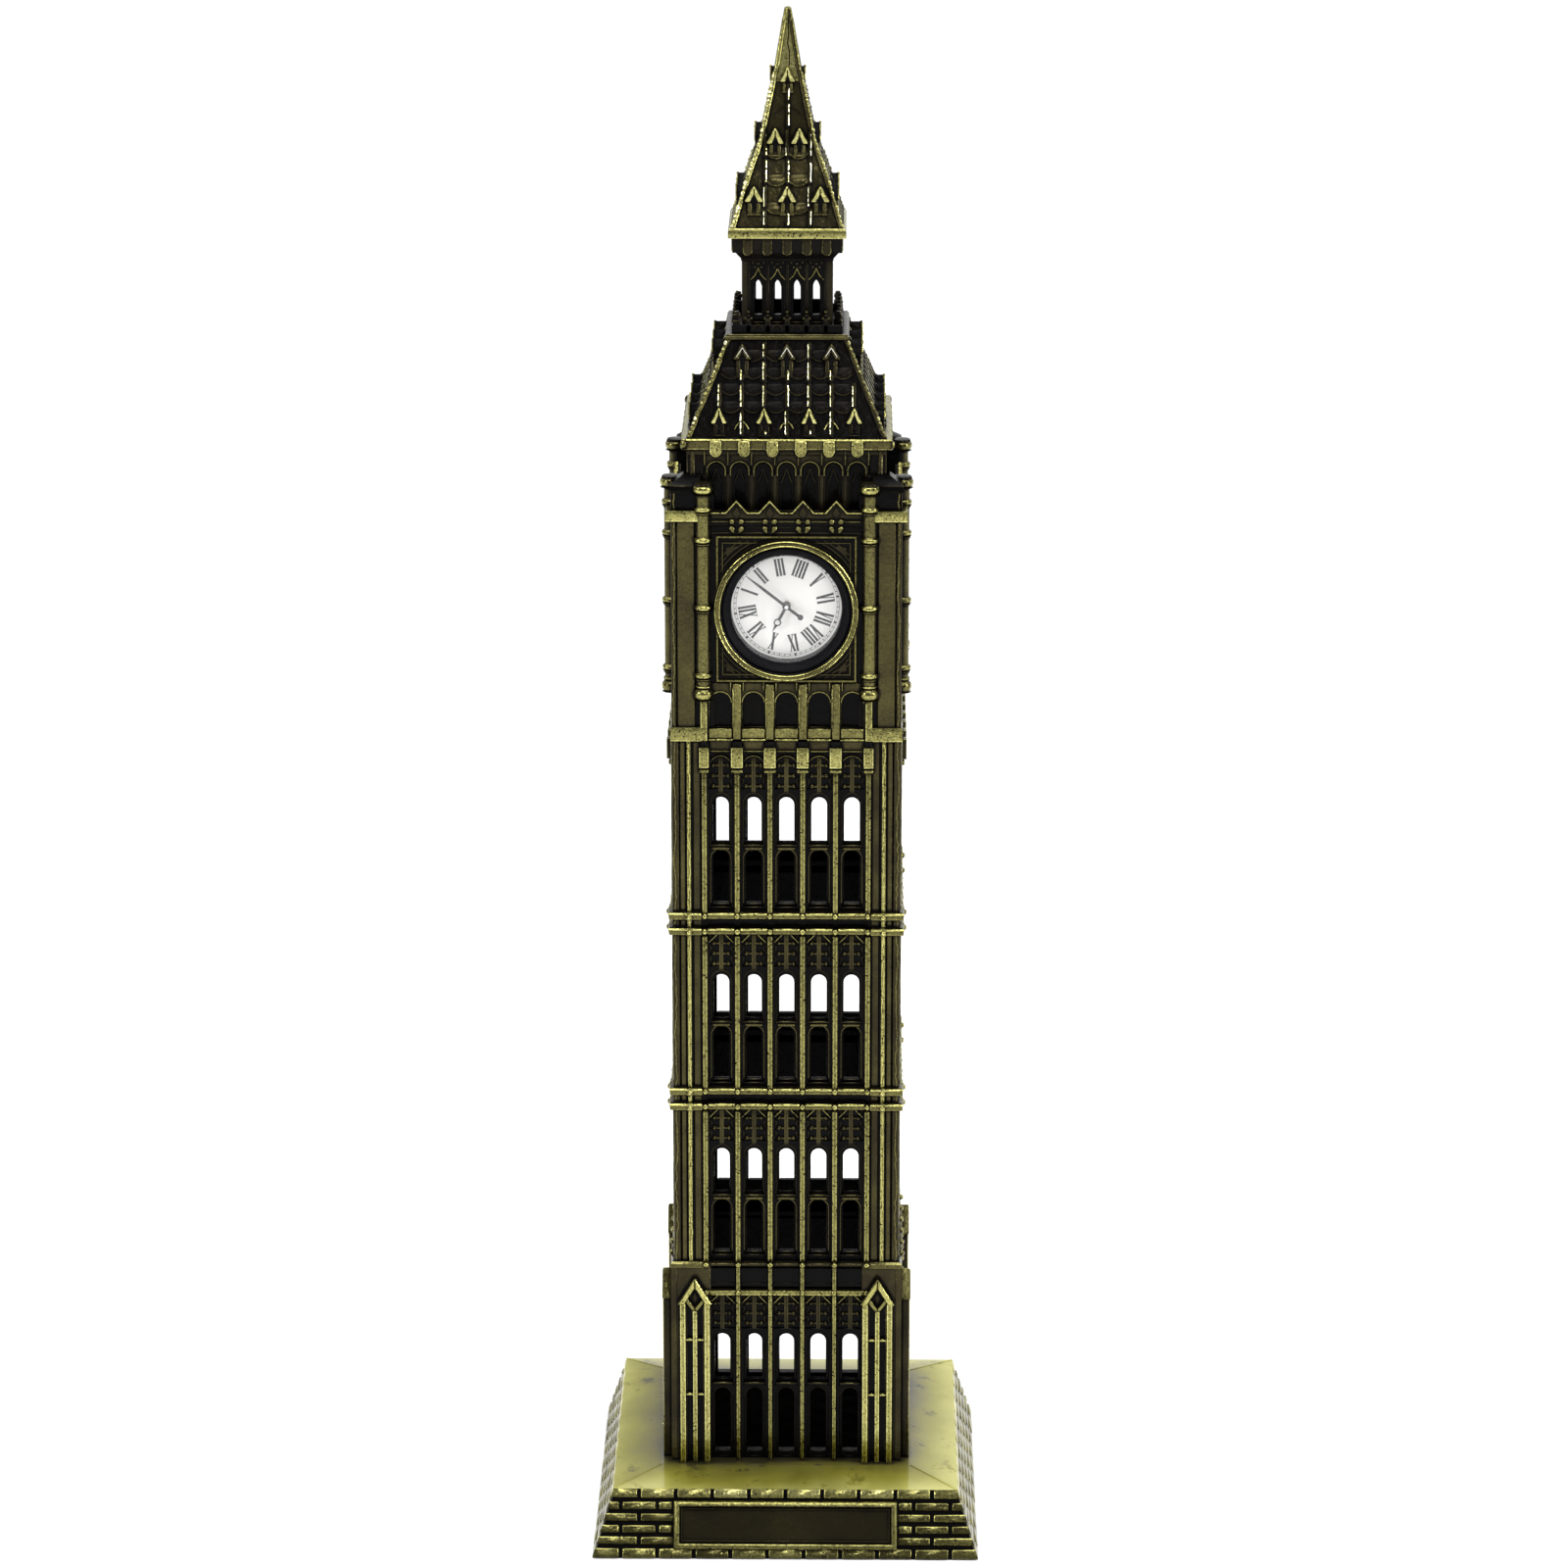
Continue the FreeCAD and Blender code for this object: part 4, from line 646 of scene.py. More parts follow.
def belfry_side():
    """Round arches with pointed lights in them, and a rail above."""
    c = Casting()
    pitch, back = 3.7, 14.17
    for x in spaced(7, pitch):
        portal(c, x, pitch, 2.5, (171.5, 182.5), (172.6, 180.3), (14.9, 15.5), BROWN, 0.12, 0.15)
        portal(c, x, pitch, 1.5, (171.5, 181.5), (172.6, 178.9), (14.3, 14.95), BLACK, 0.12, 0.2, True)
        c.moulding(stilted(x, 178.2, 179.05, 1.45), 15.5, 0.3, 0.26, OLIVE + 0.1)
        c.moulding(arc(x, 179.0, 1.02, 180, 0, 10), 15.1, 0.2, 0.25, BROWN)
        c.moulding(over(x, [(0.85, 176.9), (0, 179.2)]), 14.95, 0.18, 0.16, BROWN)
        c.bar(x, 0.75, (14.14, 14.3), (172, 179.4), BLACK, 0)
    for x in spaced(8, pitch):
        c.bar(x, 0.3, (14.8, 15.72), (171.5, 178.4), BROWN - 0.05, 0.12, 0.08)
        c.bar(x, 0.14, (14.8, 15.77), (179.9, 182.4), OLIVE, 0.06)
    c.band((back, 15.7), (181.5, 182.5), BROWN, 0.14)
    c.band((back, 15.6), (166.0, 172.6), BLACK, 0.05)
    c.pair(13.1, FAR, (back, 15.55), (171.5, 182.5), SOOT, 0.15)
    c.pair(14.4, 15.2, (back, 15.77), (171.5, 182.5), BROWN + 0.05, 0.2)
    return c


def rib(c, profile, x, stops, radius=0.34):
    """A standing rib in short rounded lengths, with a painted silvery glint along one edge here and there.
    """
    rng = random.Random(f"rib {x:.2f} {radius}")
    for low, high in zip(stops, stops[1:]):
        top = min(high - 0.12, highest(profile, abs(x) + 0.3))
        if top - low < 0.5:
            continue
        c.rod((x, 0.1, low + 0.12), (x, 0.1, top), radius, BROWN + 0.1, 8)
        c.ball(x, 0.1, low + 0.1, radius * 1.35, SOOT, 0.8)
        # painted glint: thin silvery rods down one flank of the rib
        shine, z = x + radius * rng.choice((-0.6, 0.6)), low + 0.4
        while z < top - 0.6:
            end = min(z + rng.uniform(0.4, 1.8), top - 0.3)
            c.rod((shine, 0.02 + radius, z), (shine, 0.02 + radius, end), 0.09, PAINTED_GLINT, 5)
            z = end + rng.uniform(0.1, 0.4)


def highest(profile, x):
    """Height at which a roof has narrowed to a distance from its middle."""
    for (half, low), (half_up, high) in zip(profile, profile[1:]):
        if half_up <= x <= half:
            return low + (half - x) / (half - half_up) * (high - low)
    return profile[-1][1] if x < profile[-1][0] else profile[0][1]


def hip(c, profile, seed, low_tone, high_tone, radius, top):
    """A knobbly crocketed roll up one corner of a roof, drawn on the front side's left edge."""
    rng = random.Random(seed)
    c.place = uncut
    z = profile[0][1] + 0.3
    stations = [profile[0][1]] + [level for _, level in profile[1:] if level < top] + [top]
    for low, high in zip(stations, stations[1:]):
        a, b = half_at(profile, low), half_at(profile, high)
        c.rod((-a, a, low), (-b, b, high), radius * 1.1, low_tone, 12)
    # The knobs' tones run up to high_tone; at the silvery top of that range they are painted glints.
    while z < top:
        half = half_at(profile, z) + 0.22
        size = radius * rng.uniform(0.6, 0.95)
        c.ball(-half, half, z, size, rng.uniform(low_tone, high_tone), rng.uniform(0.8, 1.5))
        z += rng.uniform(0.55, 1.0)


def gable_dormer(c, profile, x, z, wide, tone, post_tone, thick=0.64):
    """A little gable on two posts with a pointed opening, standing out of a slope."""
    foot, eave, peak = z
    out = half_at(profile, foot) + 0.3
    back = half_at(profile, peak) - 0.3
    half = wide / 2
    c.place = uncut
    hollow = [(half * 0.8, foot), (half * 0.8, eave + 0.3), (0, peak - 0.5)]
    c.slab(over(x, hollow), (back, out - 0.35), BLACK, 0.06, 0.1)
    gable = [(0, peak), (half * 0.3, peak - 0.15), (half * 0.62, (peak + eave) / 2 + 0.1),
             (half + 0.25, eave + 0.25), (half + 0.1, eave), (half - thick, eave), (0, peak - thick * 1.7)]
    c.wings(x, gable, (out - 0.3, out), tone, 0.12, 0.02)
    # The body behind the thin bright front is near black, so the gable's flanks read dark: painted shade.
    c.wings(x, gable, (back, out - 0.25), SOOT - 0.04, 0.1, 0.0)
    c.pair(half * 0.28, half * 0.8, (out - 0.5, out - 0.12), (foot, eave - 0.1), post_tone, 0.1, 0.3, x=x)
    c.bar(x, half * 0.9, (out - 0.4, out - 0.05), (foot - 0.1, foot + 0.22), post_tone, 0.06, 0.3)
    c.ball(x, out - 0.15, peak - 0.1, 0.24, tone + 0.1)
    return out


def swags(c, profile, ribs, rows, tone):
    """Hanging scallops between the ribs."""
    c.place = on_slope(profile)
    for z in rows:
        for left, right in zip(ribs, ribs[1:]):
            middle, reach = (left + right) / 2, (right - left) / 2 - 0.25
            if max(abs(left), abs(right)) > half_at(profile, z) - 0.4:
                continue
            sag = [(middle + reach * t / 5, 0.75 * (t / 5) ** 2) for t in range(-5, 6)]
            c.moulding([(x, z + rise) for x, rise in sag], 0, 0.42, 0.34, tone + 0.08)
            scale = [(x, z + 0.1 + rise) for x, rise in sag]
            scale += [(middle + reach, z + 1.7), (middle - reach, z + 1.7)]
            c.slab(scale, (-0.2, 0.16), tone * 0.85, 0.1, 0.05)


def core(c, profile, tone):
    """The sloping skin of one side."""
    thick = 1.3
    c.place = on_slope(profile)
    for (_, low), (_, high) in zip(profile, profile[1:]):
        c.band((-min(thick, half_at(profile, high) * 0.9), 0), (low, high), tone, 0)


def lower_roof_side():
    """The roof over the belfry, with its cornice, two rows of dormers and a kerb."""
    c = Casting()
    c.band((13.8, 16.4), (182.5, 184.2), OLIVE, 0.12)
    c.band((13.8, 16.52), (183.9, 184.25), BRIGHT, 0.12, 0.1)
    c.band((13.8, 16.5), (182.5, 182.75), OLIVE + 0.08, 0.08)
    for x in spaced(6, 4.46):
        shield(c, x, 16.45, (181.35, 184.0), 1.85, BRIGHT - 0.08)
    c.ball(-16.3, 16.3, 183.4, 0.75, WORN, 1.1)
    c.band((8.0, 9.79), (198.75, 199.35), OLIVE - 0.08)
    c.band((5.6, 9.6), (199.2, 199.62), BROWN, 0.1, 0.25)
    core(c, ROOF, SOOT * 0.6)
    ribs = spaced(7, 3.53)
    swags(c, ROOF, ribs, (188.0, 190.6, 193.0, 195.6), SOOT + 0.06)
    for x in ribs:
        rib(c, ROOF, x, (184.5, 188.6, 192.5, 195.8, 198.6) if abs(x) < 8 else (185.5, 188.6, 192.5))
    for x in spaced(3, 7.06):
        c.moulding(over(x, [(1.1, 185.6), (0.75, 186.2), (0, 186.9)]), 0.1, 0.26, 0.24, BRIGHT)
    for x in spaced(4, 7.1):
        gable_dormer(c, ROOF, x, (184.5, 186.5, 188.9), 2.1, BRIGHT + 0.1, SOOT, 0.5)
    for x in spaced(3, 7.0):
        out = gable_dormer(c, ROOF, x, (193.2, 196.0, 198.4), 2.4, OLIVE, BROWN, 0.66)
        # painted glint: a thin silvery line along the dormer's arms
        c.moulding(over(x, [(0.95, 196.5), (0, 198.0)]), out, 0.16, 0.14, PAINTED_GLINT)
        for side in BOTH:
            c.ball(x + side * 0.75, out, 196.4, 0.26, OLIVE + 0.1)
    hip(c, ROOF, 7, WORN, PAINTED_GLINT, 0.4, ROOF[-1][1])
    return c


def lantern_side():
    """Four pointed lights under a coved cornice, behind a row of finials."""
    c = Casting()
    pitch, back = 3.05, 5.6
    for x in spaced(4, pitch):
        portal(c, x, pitch, 1.12, (199.6, 211.0), (202.2, 207.8), (back, 6.5), BLACK, 0.08, 0.15, True)
        portal(c, x, pitch, 1.7, (199.6, 211.0), (201.0, 208.9), (6.4, 6.95), BLACK, 0.1, 0.15, True)
        c.moulding(over(x, [(1.2, 207.9), (0.5, 208.6), (0, 209.7)]), 6.95, 0.22, 0.2, WORN)
        for aside, level in ((-0.5, 209.9), (0.5, 209.9), (0, 210.5), (-0.9, 210.7), (0.9, 210.7)):
            c.ball(x + aside, 6.98, level, 0.2, OLIVE)
        c.bar(x, 1.2, (6.4, 7.1), (200.9, 201.15), SOOT, 0.06, 0.3)
    for x in spaced(5, pitch):
        c.bar(x, 0.26, (6.4, 7.18), (200.0, 211.2), SOOT + 0.03, 0.12, 0.15)
    c.pair(6.05, FAR, (back, 7.12), (199.6, 211.4), BROWN - 0.03, 0.14, 0.15)
    c.band((back, 7.3), (210.9, 211.5), SOOT, 0.14, 0.15)
    cove = [(back, 211.2), (7.2, 211.2), (7.9, 212.1), (8.55, 213.0), (8.66, 214.85), (back, 214.85)]
    c.skew(cove, (-FAR, FAR), SOOT + 0.04, 0.1, 0.15)
    for x in spaced(5, 3.1):
        shield(c, x, 8.5, (212.0, 214.7), 1.5, OLIVE - 0.05)
    c.band((8.1, 8.75), (199.6, 201.0), BLACK, 0.14, 0.15)
    c.band((7.0, 8.2), (199.6, 200.1), BLACK, 0)
    for x in spaced(5, pitch):
        finial(c, x, 8.3, 201.0)
    for low, high, half in ((200.0, 201.7, 0.7), (201.6, 202.2, 0.5), (202.1, 202.7, 0.66),
                            (202.6, 203.1, 0.45)):
        c.bar(-8.0, half, (8.0 - half, 8.0 + half), (low, high), SOOT, 0.12, 0.35)
    for x in spaced(4, pitch):
        c.moulding(arc(x, 200.2, 0.8, 0, 180, 8), 8.75, 0.18, 0.12, BROWN)
    return c


def finial(c, x, out, z):
    """A leafy pinnacle."""
    c.bar(x, 0.42, (out - 0.45, out + 0.45), (199.7, z + 0.6), SOOT, 0.12)
    for rise, radius, tone in ((0.7, 0.55, BROWN), (1.4, 0.42, SOOT + 0.1), (2.0, 0.3, OLIVE)):
        c.ball(x, out, z + rise, radius, tone, 0.8)
    for side in BOTH:
        c.ball(x + side * 0.42, out + 0.15, z + 1.0, 0.26, OLIVE)


def spire_side():
    """The tall roof, with three rows of dormers, and the smooth tip above them."""
    c = Casting()
    hips_end = 240.0
    c.band((6.5, 9.3), (214.85, 216.05), WORN + 0.14, 0.16, 0.25, 2)
    c.band((6.5, 9.15), (215.9, 216.42), BRIGHT + 0.05, 0.12)
    core(c, SPIRE[:4], BROWN + 0.07)
    c.place = on_slope(SPIRE)
    c.band((-0.3, 0), (238.6, 250.0), BRIGHT + 0.1, 0)
    crack = [(0.05, 248.6), (0.15, 245.6), (-0.05, 244.4), (0.3, 243.2), (0.25, 241.0)]
    c.moulding(crack, 0, 0.16, 0.04, BLACK)
    ribs = spaced(3, 3.5)
    swags(c, SPIRE, [-6.6] + ribs + [6.6], (218.6,), BROWN + 0.16)
    swags(c, SPIRE, ribs, (222.8, 226.9), BROWN + 0.16)
    for x in ribs:
        rib(c, SPIRE, x, (216.6, 219.4, 223.0, 227.0, 231.5, 235.5, 238.3), 0.3)
    c.moulding(over(0, [(1.9, 233.6), (1.0, 234.5), (0, 234.9)]), 0, 0.2, 0.14, OLIVE)
    for middles, levels, wide in ((spaced(3, 5.2), (218.4, 220.4, 222.8), 2.5),
                                  (spaced(2, 3.8), (227.2, 229.1, 231.5), 2.3),
                                  ((0,), (236.9, 238.5, 240.7), 2.0)):
        for x in middles:
            gable_dormer(c, SPIRE, x, levels, wide, BRIGHT + 0.12, OLIVE)
    hip(c, SPIRE, 11, BRIGHT + 0.15, PAINTED_GLINT, 0.38, hips_end)
    stations = [(hips_end, 0.42), (244.0, 0.4), (248.0, 0.33), (249.6, 0.26)]
    for (low, wide), (high, _) in zip(stations, stations[1:]):
        a, b = half_at(SPIRE, low) - 0.15, half_at(SPIRE, high) - 0.15
        c.rod((-a, a, low), (-b, b, high), wide, BRIGHT, 12)
        c.ball(-b, b, high, wide * 0.98, BRIGHT)
    return c


# ---- plinth ----
PLATE_HALF, PLATE_LOW, PLATE_HIGH = 18.2, 1.6, 9.0


def plinth_side(with_plate):
    """Brick courses on the slope, and on the front a blank framed plate among them."""
    slope = ((BASE_HALF, 0.0), (CROWN_HALF, CROWN_Z))
    c = Casting(on_slope(slope))
    c.band((-2.0, -0.32), (0, CROWN_Z - 0.1), BLACK, 0)
    courses, brick, joint, short = 6, 6.0, 0.62, 1.5
    pitch, top_course = CROWN_Z / courses, courses - 1
    rng = random.Random(5 if with_plate else 9)
    reach = int(BASE_HALF / brick) + 1
    for course in range(courses):
        low = course * pitch + joint / 2 if course else 0.0
        high = CROWN_Z if course == top_course else (course + 1) * pitch - joint / 2
        beside = with_plate and high > PLATE_LOW and low < PLATE_HIGH
        offset = 0.0 if course % 2 else brick / 2
        half = half_at(slope, high)
        for k in range(-reach, reach):
            left, right = offset + k * brick + joint / 2, offset + (k + 1) * brick - joint / 2
            if right > half - short:
                right = FAR
            if left < short - half:
                left = -FAR
            if beside:
                if abs(left + right) / 2 < PLATE_HALF and max(abs(left), abs(right)) < PLATE_HALF + 0.4:
                    continue
                if left < PLATE_HALF < right:
                    left = PLATE_HALF + 0.35
                if left < -PLATE_HALF < right:
                    right = -PLATE_HALF - 0.35
            if right - left < 0.8 or left > half or right < -half:
                continue
            # Random wear for each brick; the top course is made lighter still, a painted highlight along
            # the crown.
            wear_and_highlight = rng.uniform(WORN - 0.07, WORN + 0.14) + (0.3 if course == top_course else 0.0)
            c.box((left, right), (-0.6, rng.uniform(-0.08, 0.0)), (low, high), wear_and_highlight, 0.15, 0.3)
    if with_plate:
        framed_plate(c)
    return c


def framed_plate(c):
    """A plate with nothing on it, in a wide frame and a thin one."""
    middle = (PLATE_LOW + PLATE_HIGH) / 2
    c.bar(0, PLATE_HALF, (-0.6, -0.02), (PLATE_LOW, PLATE_HIGH), BROWN, 0)
    path = rectangle(PLATE_HALF - 0.4, PLATE_LOW + 0.4, PLATE_HIGH - 0.4)
    c.moulding(path, 0, 0.85, 0.5, BRIGHT, closed=True)
    small = [(x * 0.955, middle + (z - middle) * 0.76) for x, z in path]
    c.moulding(small, 0, 0.25, 0.16, OLIVE, closed=True)


def well_side():
    """The floor inside the tower, painted black as shade."""
    c = Casting()
    c.band((0, INNER + 0.5), (DECK - 1.6, DECK - 0.03), BLACK, 0)
    return c


def deck_side():
    """The smooth hipped top of the plinth and the flat deck under the tower."""
    c = Casting(on_slope(((CROWN_HALF, CROWN_Z), (DECK_HALF, DECK - 0.02))))
    c.band((-1.2, 0), (CROWN_Z, DECK - 0.02), OLIVE, 0)
    c.place = flat_front
    c.band((INNER, DECK_HALF + 0.02), (DECK - 1.6, DECK), OLIVE, 0)
    c.place = uncut
    low, high = CROWN_HALF - 0.1, DECK_HALF
    c.rod((-low, low, CROWN_Z - 0.04), (-high, high, DECK - 0.06), 0.16, OLIVE, 12)
    return c


# ---- clock ----
def clock_seat():
    """The boss behind the front wall that the insert slides into."""
    c = Casting()
    seat = [(BORE_R, 12.2), (BORE_R, INNER + 0.5), (12.2, INNER + 0.5), (12.2, 11.4), (9.3, 11.4),
            (9.3, 12.2)]
    c.turned_out(0, DIAL_Z, seat, SOOT)
    return c


def screw_lugs():
    """The blocks inside two of the walls that the base screws go up into."""
    c = Casting(uncut)
    for x in (-14.25, 14.25):
        c.bar(x, 1.75, (12.5, INNER), (DECK, 16.5), BLACK, 0.15)
    return c


def insert_bezel():
    """The insert's sleeve: a tube with a bevelled, rolled front rim."""
    c = Casting()
    tube = [(8.8, 12.2), (8.8, 17.75), (8.9, 17.95), (9.3, 18.35), (9.6, 18.62), (9.85, 18.78),
            (10.05, 18.76), (10.18, 18.62), (10.23, 18.4), (10.23, 12.2)]
    c.turned_out(0, DIAL_Z, tube, BLACK, 128)
    return c


# Each letter's width, its strokes as (end, other end, thickness), and its foot and head serifs.
STROKES = {
    "I": (0.55, [((0.0, 0.0), (0.0, 1.0), 0.37)], (0.0,), (0.0,)),
    "V": (0.98, [((-0.3, 1.0), (0.0, 0.0), 0.38), ((0.3, 1.0), (0.0, 0.0), 0.16)], (), (-0.3, 0.3)),
    "X": (0.98, [((-0.32, 1.0), (0.32, 0.0), 0.38), ((0.32, 1.0), (-0.32, 0.0), 0.16)], (-0.3, 0.3),
          (-0.3, 0.3)),
}
TWELVE_TURNED = 260  # degrees clockwise from the top, on the clock that works
HOURS = ("XII", "I", "II", "III", "IIII", "V", "VI", "VII", "VIII", "IX", "X", "XI")


def clockwise(angle, points):
    """Points drawn upright as (across, up) from the dial's middle, turned by an angle."""
    sine, cosine = math.sin(math.radians(angle)), math.cos(math.radians(angle))
    return [(a * cosine + u * sine, DIAL_Z + u * cosine - a * sine) for a, u in points]


def dial_print(out, twelve):
    """Roman hours and a minute track in thin ink, with twelve at an angle clockwise from the top."""
    c = Casting()
    foot, tall, serif, ink = 4.85, 2.85, 0.08, (out, out + 0.02)
    track, track_end = 8.02, 8.35

    def patch(angle, corners):
        c.slab(clockwise(angle, corners), ink, BLACK, 0)

    for k, hour in enumerate(HOURS):
        angle = twelve + 30 * k
        cursor = -sum(STROKES[letter][0] for letter in hour) / 2
        for letter in hour:
            advance, strokes, feet, heads = STROKES[letter]
            middle = cursor + advance / 2
            for (x0, y0), (x1, y1), thick in strokes:
                first, last, half = middle + x0, middle + x1, thick / 2
                low, high = foot + tall * y0, foot + tall * y1
                patch(angle, [(first - half, low), (first + half, low), (last + half, high),
                              (last - half, high)])
            for marks, low in ((feet, foot), (heads, foot + tall - serif)):
                for x in marks:
                    patch(angle, rectangle(0.24, low, low + serif, middle + x))
            cursor += advance
        patch(angle, [(-0.2, track), (0.2, track), (0.14, track_end), (0, 8.55), (-0.14, track_end)])
    for minute in range(60):
        patch(twelve + 6 * minute, rectangle(0.05, track, track_end))
    for radius in (8.0, track_end):
        ring = [(radius, out), (radius + 0.05, out), (radius + 0.05, ink[1]), (radius, ink[1])]
        c.turned_out(0, DIAL_Z, ring, BLACK, 128)
    return c


def printed_hands(out):
    """The hands that are only printed on a closed dial."""
    c = Casting()
    for angle, length, tail, half in ((-52, 8.0, 2.6, 0.2), (-152, 4.8, 0.5, 0.24)):
        hand = [(-half, -tail), (half, -tail), (half * 0.9, length * 0.6), (0, length),
                (-half * 0.9, length * 0.6)]
        c.slab(clockwise(angle, hand), (out + 0.02, out + 0.05), BLACK, 0)
    c.turned_out(0, DIAL_Z, [(0.01, out), (0.6, out), (0.6, out + 0.07), (0.01, out + 0.08)], BLACK, 24)
    return c


# ---- finishes ----
class Nodes:
    """A node tree, wired by hand."""

    def __init__(self, tree, place):
        self.tree = tree
        self.place = self.add("ShaderNodeTexCoord").outputs[place]

    def add(self, kind, **settings):
        node = self.tree.nodes.new(kind)
        for name, value in settings.items():
            setattr(node, name, value)
        return node

    def join(self, socket, value):
        if isinstance(value, bpy.types.NodeSocket):
            self.tree.links.new(value, socket)
        else:
            socket.default_value = value

    def axes(self):
        """The place along X, Y and Z."""
        node = self.add("ShaderNodeSeparateXYZ")
        self.join(node.inputs["Vector"], self.place)
        return node.outputs

    def spread(self, value, low, high, to_low=0.0, to_high=1.0):
        node = self.add("ShaderNodeMapRange")
        for name, given in (("Value", value), ("From Min", low), ("From Max", high),
                            ("To Min", to_low), ("To Max", to_high)):
            self.join(node.inputs[name], given)
        return node.outputs["Result"]

    def ramp(self, value, stops):
        node = self.add("ShaderNodeValToRGB")
        self.join(node.inputs["Fac"], value)
        steps = node.color_ramp.elements
        while len(steps) < len(stops):
            steps.new(0.5)
        for step, (at, colour) in zip(steps, stops):
            step.position = at
            step.color = (*colour, 1.0)
        return node.outputs["Color"]


class Finish(Nodes):
    """A material and the nodes that feed its shader."""

    def __init__(self, name, **sockets):
        self.material = bpy.data.materials.new(name)
        self.material.use_nodes = True
        super().__init__(self.material.node_tree, "Object")
        self.shader = self.tree.nodes["Principled BSDF"]
        self.set(**sockets)

    def set(self, **sockets):
        for name, value in sockets.items():
            self.join(self.shader.inputs[name.replace("_", " ")], value)

    def noise(self, scale, detail=4.0, roughness=0.6, stretch=None):
        node = self.add("ShaderNodeTexNoise")
        place = self.place
        if stretch:
            mapping = self.add("ShaderNodeMapping")
            self.join(mapping.inputs["Vector"], place)
            mapping.inputs["Scale"].default_value = stretch
            place = mapping.outputs["Vector"]
        for name, given in (("Vector", place), ("Scale", scale), ("Detail", detail),
                            ("Roughness", roughness)):
            self.join(node.inputs[name], given)
        return node.outputs["Fac"]

    def maths(self, operation, a, b=0.0, c=0.0):
        node = self.add("ShaderNodeMath", operation=operation)
        for socket, value in zip(node.inputs, (a, b, c)):
            self.join(socket, value)
        return node.outputs[0]

    def sway(self, level, noise, by):
        """A level, moved up and down by a noise."""
        return self.maths("MULTIPLY_ADD", self.maths("SUBTRACT", noise, 0.5), by, level)

    def less(self, level, amount, by):
        return self.maths("SUBTRACT", level, self.maths("MULTIPLY", amount, by))

    def bump(self, height, distance, strength, under=None):
        node = self.add("ShaderNodeBump")
        for name, given in (("Strength", strength), ("Distance", distance), ("Height", height)):
            self.join(node.inputs[name], given)
        if under:
            self.join(node.inputs["Normal"], under)
        return node.outputs["Normal"]

    def hollows(self, distance):
        """0 in the open, towards 1 deep in a crevice."""
        node = self.add("ShaderNodeAmbientOcclusion", samples=8)
        node.inputs["Distance"].default_value = distance
        return self.maths("SUBTRACT", 1.0, node.outputs["AO"])


def patina_and_light(f):
    """Level of wear at each point, from the casting's own tone, its hollows and some noise; the tone also
    carries painted shade on sides and painted glints.
    """
    tone = f.add("ShaderNodeAttribute", attribute_name="tone", attribute_type="GEOMETRY").outputs["Fac"]
    level = f.sway(tone, f.noise(110, 3), 0.3)
    mottle = f.maths("SUBTRACT", f.noise(2800, 5, 0.68), 0.52)
    level = f.maths("ADD", level, f.maths("MULTIPLY", mottle, f.spread(tone, 0.3, 0.65, 0.08, 0.95)))
    level = f.less(level, f.hollows(0.6 * MM), 0.7)
    pits = f.spread(f.noise(3600, 2, 0.5), 0.34, 0.40, 0.6, 0.0)
    return f.less(level, pits, f.spread(tone, 0.35, 0.75))


# Colours of the patina, from black to bright metal, then a near-white painted glint at the top, at shares
# of the highest level.
WEAR_AND_GLINT_TOP = 1.6
TARNISH_AND_GLINT = [
    (0.0, (0.0022, 0.0020, 0.0020)), (0.08, (0.0050, 0.0042, 0.0032)), (0.17, (0.025, 0.021, 0.011)),
    (0.27, (0.075, 0.066, 0.025)), (0.4, (0.168, 0.156, 0.052)), (0.56, (0.39, 0.366, 0.122)),
    (0.72, (0.68, 0.65, 0.28)), (0.9, (0.88, 0.88, 0.83))]
DECK_SHADES = [(0.0, (0.02, 0.017, 0.006)), (0.3, (0.17, 0.155, 0.024)), (0.6, (0.34, 0.32, 0.045)),
               (1.0, (0.62, 0.60, 0.17))]


def antique_brass():
    """Cast metal, blackened in the hollows and rubbed bright on the raised edges, under lacquer, with
    painted shade on sides and painted glints from the tone.
    """
    f = Finish("antique_brass", Specular_IOR_Level=0.045)
    level, grain = patina_and_light(f), f.noise(6500, 3, 0.6)
    uneven = f.maths("MULTIPLY", f.maths("SUBTRACT", grain, 0.5), 0.2)
    lumps = f.bump(f.noise(900, 4, 0.6), 0.12 * MM, 0.8)
    f.set(Base_Color=f.ramp(f.maths("DIVIDE", level, WEAR_AND_GLINT_TOP), TARNISH_AND_GLINT),
          Metallic=f.spread(level, 0.05, 0.4),
          Roughness=f.maths("ADD", f.spread(level, 0.0, 0.8, 0.17, 0.22), uneven),
          Normal=f.bump(grain, 0.01 * MM, 0.7, lumps))
    return f.material


